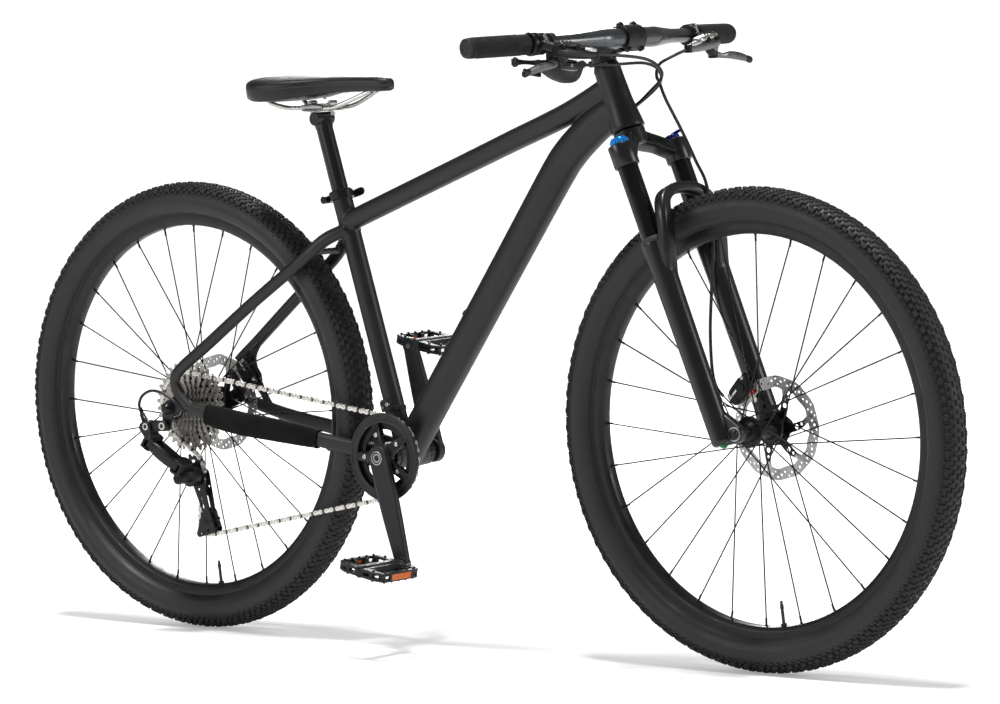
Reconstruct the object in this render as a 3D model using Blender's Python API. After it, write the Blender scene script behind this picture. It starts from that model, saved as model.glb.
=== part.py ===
"""A hardtail mountain bike with 29-inch wheels, as an assembly of separate solids.

Metres. +X points forward, +Y to the rider's left and +Z up. The model is drawn with the bottom
bracket's axis at x = 0, and then moved so that the origin is on the ground midway between the
two axles. Each moving solid has its origin on its joint's axis.
"""

import math

import bmesh
import bpy
from mathutils import Matrix, Vector

# ---------------------------------------------------------------- driving dimensions
GAP = 0.0003
X_AXIS = Vector((1, 0, 0))
Y_AXIS = Vector((0, 1, 0))
Z_AXIS = Vector((0, 0, 1))

# wheels
TYRE_RADIUS = 0.370
TYRE_HALF_WIDTH = 0.0300
RIM_OUTER_RADIUS = 0.3165
RIM_INNER_RADIUS = 0.298
RIM_HALF_WIDTH = 0.0135
WHEEL_STEPS = 32
SPOKES = 28
SPOKE_RADIUS = 0.0010
SPOKE_LEAN = math.radians(68)
SPOKE_STAGGER = 0.0015
SPOKE_END_RADIUS = 0.2958
FLANGE_RADIUS = 0.024
FLANGE_HALF = 0.0028
AXLE_RADIUS = 0.0045
ROTOR_RADIUS = 0.080
ROTOR_THICKNESS = 0.0018

# frame geometry
REAR_AXLE = Vector((-0.450, 0, TYRE_RADIUS))
FRONT_AXLE = Vector((0.711, 0, TYRE_RADIUS))
BB = Vector((0, 0, 0.306))
HEAD_ANGLE = math.radians(68)
SEAT_ANGLE = math.radians(73.7)
FORK_OFFSET = 0.051
HEAD_TUBE = (0.512, 0.612)
STEERER_RADIUS = 0.0143
SEAT_TUBE_TOP = 0.438
DOWN_BEND = Vector((0.303, 0, 0.7205))
SEAT_TUBE_RADIUS = 0.0162
POST_RADIUS = 0.0136
POST_TOP = 0.555
SADDLE_AXIS = 0.560
SHELL_RADIUS = 0.0215
SHELL_HALF_WIDTH = 0.0365
REAR_INNER = 0.0678
FRONT_INNER = 0.0503

# fork, measured up the steering axis from the point abreast of the front axle
LEG_OFFSET = 0.025
LEG_SIDE = 0.065
STANCHION_RADIUS = 0.0160
SLEEVE = (0.444, 0.480)
LOWERS_TOP = 0.322
CROWN_TOP = 0.510

# cockpit
BAR_CENTRE = Vector((0.477, 0, 0.9655))
BAR_HALF = 0.320
BAR_BEND = 0.060
BAR_SWEEP = math.radians(11.5)
BAR_FALL = 0.07
BAR_END_RADIUS = 0.0111
BAR_CLAMP_RADIUS = 0.0159
GRIP_INNER = 0.208

# drive
CRANK_LENGTH = 0.175
CRANK_TURN = math.radians(18.3)
PEDAL_TILT = math.radians(11)
GUARD_INNER_RADIUS = 0.0545
CHAIN_PITCH = 0.0127
RING_TEETH = 32
COG_TEETH = 28
PULLEY_TEETH = 11
RING_Y = -0.0501
RING_HALF_THICKNESS = 0.0011
COG_Y = -0.0301
CHAIN_HALF_WIDTH = 0.0028
CHAIN_HALF_HEIGHT = 0.0041
CHAIN_SEAT = 0.0050
GUIDE_PULLEY = Vector((-0.441, COG_Y, 0.269))
TENSION_PULLEY = Vector((-0.409, COG_Y, 0.181))
CAGE_PIVOT = Vector((-0.430, -0.050, 0.2555))
HANGER_BOLT = Vector((-0.454, -0.0780, 0.3425))
B_AXLE = Vector((-0.487, -0.0780, 0.3410))
LINK_TOP = Vector((-0.484, -0.0880, 0.3130))
LINK_BOTTOM = Vector((-0.434, -0.0800, 0.2760))
INNER_LINK_SHIFT = Vector((0.0, 0.0170, 0.0))

STEER_UP = Vector((-math.cos(HEAD_ANGLE), 0, math.sin(HEAD_ANGLE)))
STEER_FORWARD = Vector((math.sin(HEAD_ANGLE), 0, math.cos(HEAD_ANGLE)))
STEER_FOOT = FRONT_AXLE - FORK_OFFSET * STEER_FORWARD
SEAT_UP = Vector((-math.cos(SEAT_ANGLE), 0, math.sin(SEAT_ANGLE)))
SEAT_FORWARD = Vector((math.sin(SEAT_ANGLE), 0, math.cos(SEAT_ANGLE)))

BLACK_PAINT = (0.018, 0.018, 0.020, 1)
BLACK_PLASTIC = (0.012, 0.012, 0.013, 1)
RUBBER = (0.022, 0.022, 0.022, 1)
SILVER = (0.62, 0.62, 0.60, 1)
LOOKS = {
    "paint": (BLACK_PAINT, 0.45, 0.1),
    "gloss": (BLACK_PAINT, 0.22, 0.2),
    "anodised": (BLACK_PLASTIC, 0.35, 0.7),
    "plastic": (BLACK_PLASTIC, 0.55, 0.0),
    "rubber": (RUBBER, 0.85, 0.0),
    "steel": (SILVER, 0.30, 1.0),
    "black_steel": ((0.03, 0.03, 0.03, 1), 0.35, 0.9),
    "alloy": ((0.42, 0.43, 0.44, 1), 0.40, 0.9),
    "blue": ((0.02, 0.30, 0.75, 1), 0.30, 0.6),
    "cover": ((0.015, 0.015, 0.015, 1), 0.60, 0.0),
}


# ---------------------------------------------------------------- places
def steer_point(up, forward=0.0, side=0.0):
    """A point of the steering assembly, from the foot of the steering axis."""
    return STEER_FOOT + up * STEER_UP + forward * STEER_FORWARD + side * Y_AXIS


def seat_point(up, forward=0.0, side=0.0):
    """A point along the seat tube, from the bottom bracket."""
    return BB + up * SEAT_UP + forward * SEAT_FORWARD + side * Y_AXIS


def bar_point(reach, ahead=0.0, above=0.0):
    """A point by the handlebar; reach is its signed distance from the middle, positive to the left."""
    swept = max(abs(reach) - BAR_BEND, 0) * math.tan(BAR_SWEEP)
    return BAR_CENTRE + Vector((ahead - swept, reach, above - BAR_FALL * swept))


def bar_direction(side):
    """The way the swept part of the handlebar runs, outwards."""
    back = math.tan(BAR_SWEEP)
    return Vector((-back, side, -BAR_FALL * back)).normalized()


def pitch_radius(teeth):
    """The radius on which the chain's pins run."""
    return CHAIN_PITCH / (2 * math.sin(math.pi / teeth))


def pedal_centre(side):
    """The pedal axle's middle; the right arm points down and forward, the left one the other way."""
    down = Vector((math.sin(CRANK_TURN), 0, -math.cos(CRANK_TURN)))
    return BB + (-side) * CRANK_LENGTH * down + Vector((0, side * 0.140, 0))


# ---------------------------------------------------------------- modelling helpers
def clear_scene():
    for old in list(bpy.data.objects):
        bpy.data.objects.remove(old)


def material(name, look):
    colour, roughness, metallic = LOOKS[look]
    made = bpy.data.materials.new(name)
    made.use_nodes = True
    shader = made.node_tree.nodes["Principled BSDF"]
    shader.inputs["Base Color"].default_value = colour
    shader.inputs["Roughness"].default_value = roughness
    shader.inputs["Metallic"].default_value = metallic
    return made


def add_object(name, bm, look):
    """One named object from a mesh, its faces turned outwards."""
    bmesh.ops.recalc_face_normals(bm, faces=bm.faces)
    mesh = bpy.data.meshes.new(name)
    bm.to_mesh(mesh)
    bm.free()
    mesh.shade_smooth()
    mesh.set_sharp_from_angle(angle=math.radians(35))
    mesh.materials.append(material(name, look))
    made = bpy.data.objects.new(name, mesh)
    bpy.context.scene.collection.objects.link(made)
    return made


def loft(name, rings, look="paint", closed=False):
    """A skin through rings of points, capped at its ends or closed on itself."""
    bm = bmesh.new()
    rows = [[bm.verts.new(point) for point in ring] for ring in rings]
    pairs = list(zip(rows, rows[1:]))
    if closed:
        pairs.append((rows[-1], rows[0]))
    for low, high in pairs:
        for i in range(len(low)):
            j = (i + 1) % len(low)
            bm.faces.new((low[i], low[j], high[j], high[i]))
    if not closed:
        bm.faces.new(rows[0])
        bm.faces.new(rows[-1])
    return add_object(name, bm, look)


def oval(centre, across, up, half_across, half_up, sides):
    """A ring of points on an ellipse."""
    points = []
    for i in range(sides):
        turn = 2 * math.pi * (i + 0.5) / sides
        points.append(centre + across * (half_across * math.cos(turn)) + up * (half_up * math.sin(turn)))
    return points


def tube(name, path, sizes, look="paint", sides=12, across=Y_AXIS, closed=False):
    """A tube along a path; a size is a radius, or half the width across and half the height."""
    count = len(path)
    if not isinstance(sizes, list):
        sizes = [sizes] * count
    rings = []
    for i, point in enumerate(path):
        before = path[(i - 1) % count] if closed else path[max(i - 1, 0)]
        after = path[(i + 1) % count] if closed else path[min(i + 1, count - 1)]
        along = (after - before).normalized()
        side = (across - along * across.dot(along)).normalized()
        half = sizes[i] if isinstance(sizes[i], tuple) else (sizes[i], sizes[i])
        rings.append(oval(point, side, along.cross(side), half[0], half[1], sides))
    return loft(name, rings, look, closed)


def rod(name, start, end, radius, look="paint", sides=12):
    """A round bar between two points."""
    along = (end - start).normalized()
    return tube(name, [start, end], radius, look, sides, along.orthogonal().normalized())


def turned(name, profile, centre, axis, look="paint", sides=20):
    """A solid turned about an axis from a closed outline of (distance along, radius) points."""
    along = axis.normalized()
    side = along.orthogonal().normalized()
    up = along.cross(side)
    bm = bmesh.new()
    poles = {i: bm.verts.new(centre + along * a) for i, (a, r) in enumerate(profile) if r == 0}
    columns = []
    for step in range(sides):
        turn = 2 * math.pi * step / sides
        out = side * math.cos(turn) + up * math.sin(turn)
        columns.append([poles.get(i) or bm.verts.new(centre + along * a + out * r)
                        for i, (a, r) in enumerate(profile)])
    for step in range(sides):
        here, there = columns[step], columns[(step + 1) % sides]
        for i in range(len(profile)):
            j = (i + 1) % len(profile)
            corners = []
            for vert in (here[i], here[j], there[j], there[i]):
                if vert not in corners:
                    corners.append(vert)
            if len(corners) > 2:
                bm.faces.new(corners)
    return add_object(name, bm, look)


def ring(name, centre, axis, low, high, inner, outer, look="paint", sides=20):
    """A plain collar from low to high along its axis."""
    return turned(name, [(low, inner), (high, inner), (high, outer), (low, outer)], centre, axis, look,
                  sides)


def disc(name, centre, axis, low, high, radius, look="paint", sides=20):
    """A plain round block from low to high along its axis."""
    return turned(name, [(low, 0), (high, 0), (high, radius), (low, radius)], centre, axis, look, sides)


def plate(name, outline, thickness, look="paint", flat=Y_AXIS):
    """A flat plate: the outline's points lie on its middle plane."""
    shift = flat * (thickness / 2)
    return loft(name, [[p - shift for p in outline], [p + shift for p in outline]], look)


def block(name, centre, size, look="paint", along=X_AXIS, up=Z_AXIS):
    """A box with its own directions."""
    x = along.normalized() * size[0] / 2
    z = up.normalized() * size[2] / 2
    y = z.cross(x).normalized() * size[1] / 2
    corners = [centre - x - z, centre + x - z, centre + x + z, centre - x + z]
    return loft(name, [[c - y for c in corners], [c + y for c in corners]], look)


def hull_outline(circles, steps=8):
    """The outline, in the XZ plane, of a band wrapped round circles of (centre, radius)."""
    points = []
    for centre, radius in circles:
        for i in range(steps * 2):
            turn = math.pi * i / steps
            points.append(centre + Vector((radius * math.cos(turn), 0, radius * math.sin(turn))))
    points.sort(key=lambda p: (round(p.x, 7), round(p.z, 7)))

    def half(ordered):
        chain = []
        for p in ordered:
            while len(chain) > 1 and turn_of(chain[-2], chain[-1], p) <= 1e-9:
                chain.pop()
            chain.append(p)
        return chain[:-1]

    def turn_of(a, b, c):
        return (b.x - a.x) * (c.z - a.z) - (b.z - a.z) * (c.x - a.x)

    return half(points) + half(points[::-1])


def hide(*objects):
    for other in objects:
        other.hide_render = True
        other.display_type = "WIRE"


def combine(target, operation, others, solver):
    """Boolean modifiers that join or cut the other shapes, which then stand as guides."""
    for other in others:
        change = target.modifiers.new(operation.title(), "BOOLEAN")
        change.operation = operation
        change.solver = solver
        change.object = other
    hide(*others)
    return target


def fuse(target, *others, solver="EXACT"):
    return combine(target, "UNION", others, solver)


def cut(target, *others, solver="EXACT"):
    return combine(target, "DIFFERENCE", others, solver)


def turn_about(obj, pivot):
    """Puts the object's origin on its joint's axis."""
    obj.data.transform(Matrix.Translation(-pivot))
    obj.location = pivot
    return obj


# ---------------------------------------------------------------- frame
def main_tubes():
    """Head tube, down tube, top tube, seat tube and bottom bracket shell."""
    low, high = HEAD_TUBE
    head = turned("frame", [(low, 0), (high, 0), (high, 0.0212), (low + 0.045, 0.0225),
                            (low + 0.012, 0.0262), (low, 0.0275)], STEER_FOOT, STEER_UP)
    down_path = [BB, DOWN_BEND, Vector((0.344, 0, 0.7740)), Vector((0.380, 0, 0.8090)),
                 Vector((0.455, 0, 0.8600))]
    down_sizes = [(0.0262, 0.0250), (0.0260, 0.0268), (0.0255, 0.0275), (0.0245, 0.0275), (0.0200, 0.0270)]
    down = tube("down_tube", down_path, down_sizes, sides=16)
    top_path = [seat_point(0.386), Vector((0.10, 0, 0.7545)), Vector((0.38, 0, 0.8590)), steer_point(0.585)]
    top = tube("top_tube", top_path, [(0.0165, 0.0165), (0.0180, 0.0165), (0.0190, 0.0175),
                                      (0.0170, 0.0180)])
    seat = rod("seat_tube", BB, seat_point(SEAT_TUBE_TOP), SEAT_TUBE_RADIUS, sides=16)
    shell = rod("shell", BB - SHELL_HALF_WIDTH * Y_AXIS, BB + SHELL_HALF_WIDTH * Y_AXIS, SHELL_RADIUS,
                sides=20)
    return fuse(head, down, top, seat, shell)


def stays(side):
    """One chainstay, one seatstay and their dropout, which carries the axle."""
    chain_path = [Vector((-0.004, side * 0.0240, 0.306)), Vector((-0.030, side * 0.0300, 0.3100)),
                  Vector((-0.088, side * 0.0415, 0.3190)),
                  Vector((-0.170, side * 0.0500, 0.3325)), Vector((-0.300, side * 0.0640, 0.3500)),
                  Vector((-0.405, side * 0.0715, 0.3720))]
    chain_sizes = [(0.0075, 0.0130), (0.0070, 0.0130), (0.0065, 0.0130), (0.0070, 0.0125),
                   (0.0070, 0.0115), (0.0045, 0.0100)]
    chainstay = tube(f"chainstay_{side}", chain_path, chain_sizes, sides=10)
    seat_path = [seat_point(0.3735, 0.002, side * 0.010), Vector((-0.136, side * 0.0275, 0.6490)),
                 Vector((-0.181, side * 0.0420, 0.6120)), Vector((-0.278, side * 0.0540, 0.5440)),
                 Vector((-0.374, side * 0.0645, 0.4730)), Vector((-0.426, side * 0.0700, 0.4370)),
                 Vector((-0.4385, side * 0.0716, 0.4150)), Vector((-0.4250, side * 0.0718, 0.3880)),
                 Vector((-0.4050, side * 0.0716, 0.3730))]
    seatstay = tube(f"seatstay_{side}", seat_path,
                    [0.0105, (0.0090, 0.0108), (0.0082, 0.0104), (0.0078, 0.0100), (0.0076, 0.0098),
                     (0.0072, 0.0088), (0.0042, 0.0098), (0.0040, 0.0110), (0.0040, 0.0100)], sides=8)
    middle = side * (REAR_INNER + 0.0035)
    outline = hull_outline([(Vector((REAR_AXLE.x, middle, REAR_AXLE.z)), 0.0150),
                            (Vector((-0.420, middle, 0.3840)), 0.0120)], 6)
    dropout = plate(f"dropout_{side}", outline, 0.0070)
    return [chainstay, seatstay, dropout]


def bottle_bosses():
    """Two threaded bosses on the down tube's upper side, 64 mm apart."""
    along = (DOWN_BEND - BB).normalized()
    out = Vector((-along.z, 0, along.x))
    made = []
    for i, reach in enumerate((0.200, 0.264)):
        foot = BB + along * reach
        made.append(rod(f"boss_{i}", foot + out * 0.018, foot + out * 0.0295, 0.0065, sides=12))
    return made


def frame():
    body = main_tubes()
    for side in (-1, 1):
        fuse(body, *stays(side))
    bridge = rod("stay_bridge", Vector((-0.160, -0.034, 0.6290)), Vector((-0.160, 0.034, 0.6290)), 0.0050,
                 sides=8)
    fuse(body, bridge, *bottle_bosses())
    low, high = HEAD_TUBE
    head_bore = [(low - 0.01, 0), (high + 0.01, 0), (high + 0.01, 0.0190), (high - 0.0085, 0.0190),
                 (high - 0.0085, 0.0165), (low + 0.0095, 0.0165), (low + 0.0095, 0.0240),
                 (low - 0.01, 0.0240)]
    cutters = [
        turned("head_bore", head_bore, STEER_FOOT, STEER_UP),
        rod("shell_bore", BB - 0.06 * Y_AXIS, BB + 0.06 * Y_AXIS, 0.0175, sides=20),
        rod("post_bore", seat_point(0.190), seat_point(0.50), POST_RADIUS + GAP, sides=16),
        rod("axle_bore", REAR_AXLE - 0.1 * Y_AXIS, REAR_AXLE + 0.1 * Y_AXIS, AXLE_RADIUS + GAP, sides=12),
    ]
    return cut(body, *cutters, solver="MANIFOLD")


def headset():
    """The two bearing cups, pressed into the head tube's ends."""
    low, high = HEAD_TUBE
    clear = STEERER_RADIUS + GAP
    lower = turned("headset_lower", [(CROWN_TOP + GAP, clear), (low + 0.009, clear), (low + 0.009, 0.0237),
                                     (low - GAP, 0.0237), (low - GAP, 0.0262), (CROWN_TOP + GAP, 0.0255)],
                   STEER_FOOT, STEER_UP, "anodised")
    upper = turned("headset_upper", [(high - 0.008, clear), (high + 0.008, clear), (high + 0.008, 0.0185),
                                     (high + GAP, 0.0215), (high + GAP, 0.0187), (high - 0.008, 0.0187)],
                   STEER_FOOT, STEER_UP, "anodised")
    return lower, upper


def bottom_bracket():
    """Two bearing cups joined by the sleeve that runs through the shell."""
    bore, sleeve, cup = 0.0125, 0.0172, 0.0213
    inner, outer = SHELL_HALF_WIDTH + GAP, 0.0465
    profile = [(-outer, bore), (outer, bore), (outer, cup), (inner, cup), (inner, sleeve),
               (-inner, sleeve), (-inner, cup), (-outer, cup)]
    return turned("bottom_bracket", profile, BB, Y_AXIS, "anodised")


def seat_clamp():
    """The collar round the top of the seat tube, its ears behind, and its cam lever on the left."""
    middle = SEAT_TUBE_TOP - 0.007
    collar = ring("seat_clamp", seat_point(middle), SEAT_UP, -0.0065, 0.0065, SEAT_TUBE_RADIUS + GAP,
                  0.0198,
                  "anodised")
    ears = block("clamp_ears", seat_point(middle, -0.0245), (0.0130, 0.0160, 0.0120), along=SEAT_FORWARD,
                 up=SEAT_UP)
    skewer = rod("clamp_skewer", seat_point(middle, -0.0260, -0.0180), seat_point(middle, -0.0260, 0.0145),
                 0.0055)
    fuse(collar, ears, skewer)
    pivot = seat_point(middle, -0.0260, 0.0215)
    lever = tube("seat_clamp_lever",
                 [pivot, seat_point(middle, -0.0100, 0.0265), seat_point(middle, 0.0060, 0.0275),
                  seat_point(middle, 0.0220, 0.0260), seat_point(middle, 0.0270, 0.0245)],
                 [(0.0060, 0.0062), (0.0055, 0.0035), (0.0058, 0.0028), (0.0060, 0.0026), (0.0045, 0.0022)],
                 "anodised", 10, SEAT_UP)
    boss = rod("lever_boss", pivot - SEAT_UP * 0.0060, pivot + SEAT_UP * 0.0060, 0.0060, sides=12)
    fuse(lever, boss)
    return collar, turn_about(lever, pivot)


def rear_axle():
    """The skewer that holds the rear wheel, with its nut on the right and its head on the left."""
    half = REAR_INNER + 0.0110
    return turned("rear_axle", [(-half - 0.0100, 0), (half + 0.0080, 0), (half + 0.0080, 0.0085),
                                (half - 0.0005, 0.0085), (half - 0.0005, AXLE_RADIUS),
                                (-half + 0.0005, AXLE_RADIUS), (-half + 0.0005, 0.0090),
                                (-half - 0.0070, 0.0090), (-half - 0.0100, 0.0060)],
                  REAR_AXLE, Y_AXIS, "black_steel", 16)


# ---------------------------------------------------------------- fork
def crown_unit():
    """Steerer, crown and the two stanchions, pressed together as one unit."""
    steerer = disc("fork_crown", STEER_FOOT, STEER_UP, 0.486, 0.657, STEERER_RADIUS, "anodised")
    hub = disc("crown_hub", STEER_FOOT, STEER_UP, 0.482, CROWN_TOP, 0.0250)
    fuse(steerer, hub)
    for side in (-1, 1):
        arm = tube(f"crown_arm_{side}",
                   [steer_point(0.4950, 0.002, side * 0.008), steer_point(0.4830, 0.010, side * 0.030),
                    steer_point(0.4620, 0.0245, side * 0.052)],
                   [(0.0170, 0.0135), (0.0150, 0.0120), (0.0150, 0.0115)], sides=10, across=STEER_FORWARD)
        leg = steer_point(0, LEG_OFFSET, side * LEG_SIDE)
        sleeve = disc(f"sleeve_{side}", leg, STEER_UP, SLEEVE[0], SLEEVE[1], 0.0200)
        stanchion = disc(f"stanchion_{side}", leg, STEER_UP, 0.150, SLEEVE[0] + 0.004, STANCHION_RADIUS)
        fuse(steerer, arm, sleeve, stanchion, solver="MANIFOLD")
    return steerer


def fork_controls():
    """The blue preload knob on the right leg and the lockout lever on the left one."""
    top = SLEEVE[1] + GAP
    right = steer_point(top, LEG_OFFSET, -LEG_SIDE)
    knob = turned("preload_knob", [(0, 0), (0.0105, 0), (0.0105, 0.0110), (0.0085, 0.0130), (0, 0.0145)],
                  right, STEER_UP, "blue", 12)
    left = steer_point(top, LEG_OFFSET, LEG_SIDE)
    cap = disc("lockout_lever", left, STEER_UP, 0, 0.0070, 0.0125, "blue", 14)
    handle = block("lockout_handle", left + STEER_UP * 0.0080 + STEER_FORWARD * 0.0060,
                   (0.0300, 0.0060, 0.0050),
                   along=STEER_FORWARD, up=STEER_UP)
    fuse(cap, handle)
    return turn_about(knob, right), turn_about(cap, left)


def fork_lowers():
    """Both lower legs with the arch and the axle's dropouts, one casting."""
    parts = []
    for side in (-1, 1):
        leg = steer_point(0, LEG_OFFSET, side * LEG_SIDE)
        parts.append(turned(f"leg_{side}", [(-0.008, 0), (LOWERS_TOP, 0), (LOWERS_TOP, 0.0195),
                                            (0.296, 0.0205), (0.270, 0.0192), (0.040, 0.0176),
                                            (-0.004, 0.0172),
                                            (-0.008, 0.0150)], leg, STEER_UP, "gloss", 16))
        outer = side * 0.0590
        outline = [steer_point(-0.006, 0.020, outer), steer_point(-0.0120, 0.040, outer),
                   steer_point(-0.0145, 0.052, outer), steer_point(-0.0080, 0.0640, outer),
                   steer_point(0.0050, 0.0665, outer), steer_point(0.0160, 0.0600, outer),
                   steer_point(0.0230, 0.0480, outer), steer_point(0.0400, 0.0300, outer)]
        parts.append(plate(f"fork_dropout_{side}", outline, 2 * (0.0590 - FRONT_INNER)))
    arch_path = [steer_point(0.290, 0.0440, -0.0640), steer_point(0.3280, 0.0530, -0.0610),
                 steer_point(0.3660, 0.0560, -0.0540), steer_point(0.3900, 0.0560, -0.0340),
                 steer_point(0.3985, 0.0560, 0.0), steer_point(0.3900, 0.0560, 0.0340),
                 steer_point(0.3660, 0.0560, 0.0540), steer_point(0.3280, 0.0530, 0.0610),
                 steer_point(0.290, 0.0440, 0.0640)]
    half_arch = [(0.0060, 0.0110), (0.0075, 0.0110), (0.0085, 0.0100), (0.0085, 0.0095)]
    arch_sizes = half_arch + [(0.0085, 0.0095)] + half_arch[::-1]
    parts.append(tube("arch", arch_path, arch_sizes, sides=8, across=STEER_FORWARD))
    body = parts[0]
    body.name = "fork_lowers"
    fuse(body, *parts[1:])
    for side in (-1, 1):
        leg = steer_point(0, LEG_OFFSET, side * LEG_SIDE)
        leg_bore = disc(f"leg_bore_{side}", leg, STEER_UP, 0.045, 0.34, STANCHION_RADIUS + GAP)
        cut(body, leg_bore, solver="MANIFOLD")
    bore = rod("front_axle_bore", FRONT_AXLE - 0.1 * Y_AXIS, FRONT_AXLE + 0.1 * Y_AXIS, AXLE_RADIUS + GAP)
    return cut(body, bore)


def front_axle():
    """The skewer that holds the front wheel; its heads bear on the dropouts."""
    half = 0.0677 + GAP
    profile = [(-half - 0.0080, 0), (half + 0.0080, 0), (half + 0.0080, 0.0090), (half, 0.0090),
               (half, AXLE_RADIUS), (-half, AXLE_RADIUS), (-half, 0.0090), (-half - 0.0080, 0.0090)]
    return turned("front_axle", profile, FRONT_AXLE, Y_AXIS, "black_steel", 16)


def caliper(name, axle, rotor_y, turn, inner, outer):
    """A brake caliper astride the rotor's edge: two halves round the slot that the rotor runs in."""
    out = Vector((math.cos(turn), 0, math.sin(turn)))
    along = Vector((-out.z, 0, out.x))
    centre = axle + out * 0.0830 + Vector((0, (inner + outer) / 2, 0))
    body = block(name, centre, (0.0480, abs(outer - inner), 0.0300), "alloy", along, out)
    slot_centre = axle + out * 0.0740 + Vector((0, rotor_y, 0))
    slot = block(f"{name}_slot", slot_centre, (0.0700, 0.0040, 0.0300), along=along, up=out)
    return cut(body, slot)


# ---------------------------------------------------------------- wheels
def tyre(name, axle):
    """The tyre: a U-shaped section, open towards the rim."""
    centre_radius = TYRE_RADIUS - 0.0306
    profile = []
    for i in range(9):
        turn = math.radians(-132 + 264 * i / 8)
        profile.append((TYRE_HALF_WIDTH * math.sin(turn), centre_radius + 0.0306 * math.cos(turn)))
    for i in range(7):
        turn = math.radians(126 - 252 * i / 6)
        profile.append((0.0265 * math.sin(turn), centre_radius - 0.0010 + 0.0260 * math.cos(turn)))
    return turned(name, profile, axle, Y_AXIS, "rubber", WHEEL_STEPS)


def rim(name, axle):
    half = RIM_HALF_WIDTH
    profile = [(-0.0045, RIM_INNER_RADIUS), (0.0045, RIM_INNER_RADIUS), (half, 0.3050),
               (half, RIM_OUTER_RADIUS),
               (half - 0.0030, RIM_OUTER_RADIUS), (half - 0.0040, 0.3090), (-half + 0.0040, 0.3090),
               (-half + 0.0030, RIM_OUTER_RADIUS), (-half, RIM_OUTER_RADIUS), (-half, 0.3050)]
    return turned(name, profile, axle, Y_AXIS, "anodised", WHEEL_STEPS)


def hub_and_spokes(name, axle, right_y, left_y, right_end, left_end, rotor_y):
    """The hub shell with its two flanges and rotor shoulder, and the spokes laced into it."""
    bore = AXLE_RADIUS + 0.0005
    half = FLANGE_HALF
    profile = [(right_end, bore), (left_end, bore), (left_end, 0.0100), (rotor_y + 0.0040, 0.0110),
               (rotor_y + 0.0040, 0.0160), (left_y + half, 0.0170), (left_y + half, FLANGE_RADIUS),
               (left_y - half, FLANGE_RADIUS), (left_y - half, 0.0165), (left_y - 0.0090, 0.0135),
               (right_y + 0.0090, 0.0135), (right_y + half, 0.0165), (right_y + half, FLANGE_RADIUS),
               (right_y - half, FLANGE_RADIUS), (right_y - half, 0.0085), (right_end, 0.0085)]
    body = turned(name, profile, axle, Y_AXIS, "anodised", 14)
    guides = bpy.data.collections.new(f"{name}_guides")
    bpy.context.scene.collection.children.link(guides)
    laced = []
    for i in range(SPOKES):
        turn = 2 * math.pi * i / SPOKES
        lean = SPOKE_LEAN if (i // 2) % 2 else -SPOKE_LEAN
        hub_y = (left_y if i % 2 else right_y) + math.copysign(SPOKE_STAGGER, lean)
        rim_end = axle + Vector((math.cos(turn), 0, math.sin(turn))) * SPOKE_END_RADIUS
        hub_turn = turn + lean
        hub_end = axle + Vector((math.cos(hub_turn), 0, math.sin(hub_turn))) * 0.0220 + hub_y * Y_AXIS
        laced.append(rod(f"{name}_{i}", hub_end, rim_end, SPOKE_RADIUS, sides=4))
    for spoke in laced:
        bpy.context.scene.collection.objects.unlink(spoke)
        guides.objects.link(spoke)
    hide(*laced)
    union = body.modifiers.new("Union", "BOOLEAN")
    union.operation = "UNION"
    union.solver = "EXACT"
    union.operand_type = "COLLECTION"
    union.collection = guides
    return body


def rotor(name, axle, rotor_y):
    """The brake rotor: a braking band on six arms."""
    low, high = rotor_y - ROTOR_THICKNESS / 2, rotor_y + ROTOR_THICKNESS / 2
    band = ring(name, axle, Y_AXIS, low, high, 0.0640, ROTOR_RADIUS, "steel", 30)
    carrier = ring(f"{name}_carrier", axle, Y_AXIS, low, high, 0.0180, 0.0300, sides=18)
    arms = []
    for i in range(6):
        turn = 2 * math.pi * i / 6
        inner = axle + Vector((math.cos(turn), 0, math.sin(turn))) * 0.0270 + rotor_y * Y_AXIS
        outer_turn = turn + 0.55
        outer = axle + Vector((math.cos(outer_turn), 0, math.sin(outer_turn))) * 0.0660 + rotor_y * Y_AXIS
        size = ((outer - inner).length, ROTOR_THICKNESS, 0.0060)
        arms.append(block(f"{name}_arm_{i}", (inner + outer) / 2, size,
                          along=outer - inner, up=(outer - inner).cross(Y_AXIS)))
    return fuse(band, carrier, *arms)


def wheel(end, axle, right_y, left_y, right_end, left_end, rotor_y):
    """Tyre, rim, hub with its spokes, and rotor; all turn about the axle."""
    made = [tyre(f"{end}_tyre", axle), rim(f"{end}_rim", axle),
            hub_and_spokes(f"{end}_hub_and_spokes", axle, right_y, left_y, right_end, left_end, rotor_y),
            rotor(f"{end}_rotor", axle, rotor_y)]
    for piece in made:
        turn_about(piece, axle)


def cassette():
    """The sprockets as a stepped cone; the chain's sprocket has its own step."""
    chain_step = pitch_radius(COG_TEETH) - CHAIN_SEAT
    steps = [(-0.0632, -0.0560, 0.0200), (-0.0560, -0.0450, 0.0270), (-0.0450, -0.0340, 0.0380),
             (-0.0340, -0.0266, chain_step), (-0.0266, -0.0232, 0.0750)]
    outline = [(steps[0][0], 0.0092), (steps[-1][1], 0.0092)]
    for low, high, radius in reversed(steps):
        outline += [(high, radius), (low, radius)]
    return turn_about(turned("cassette", outline, REAR_AXLE, Y_AXIS, "steel", 28), REAR_AXLE)


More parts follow.
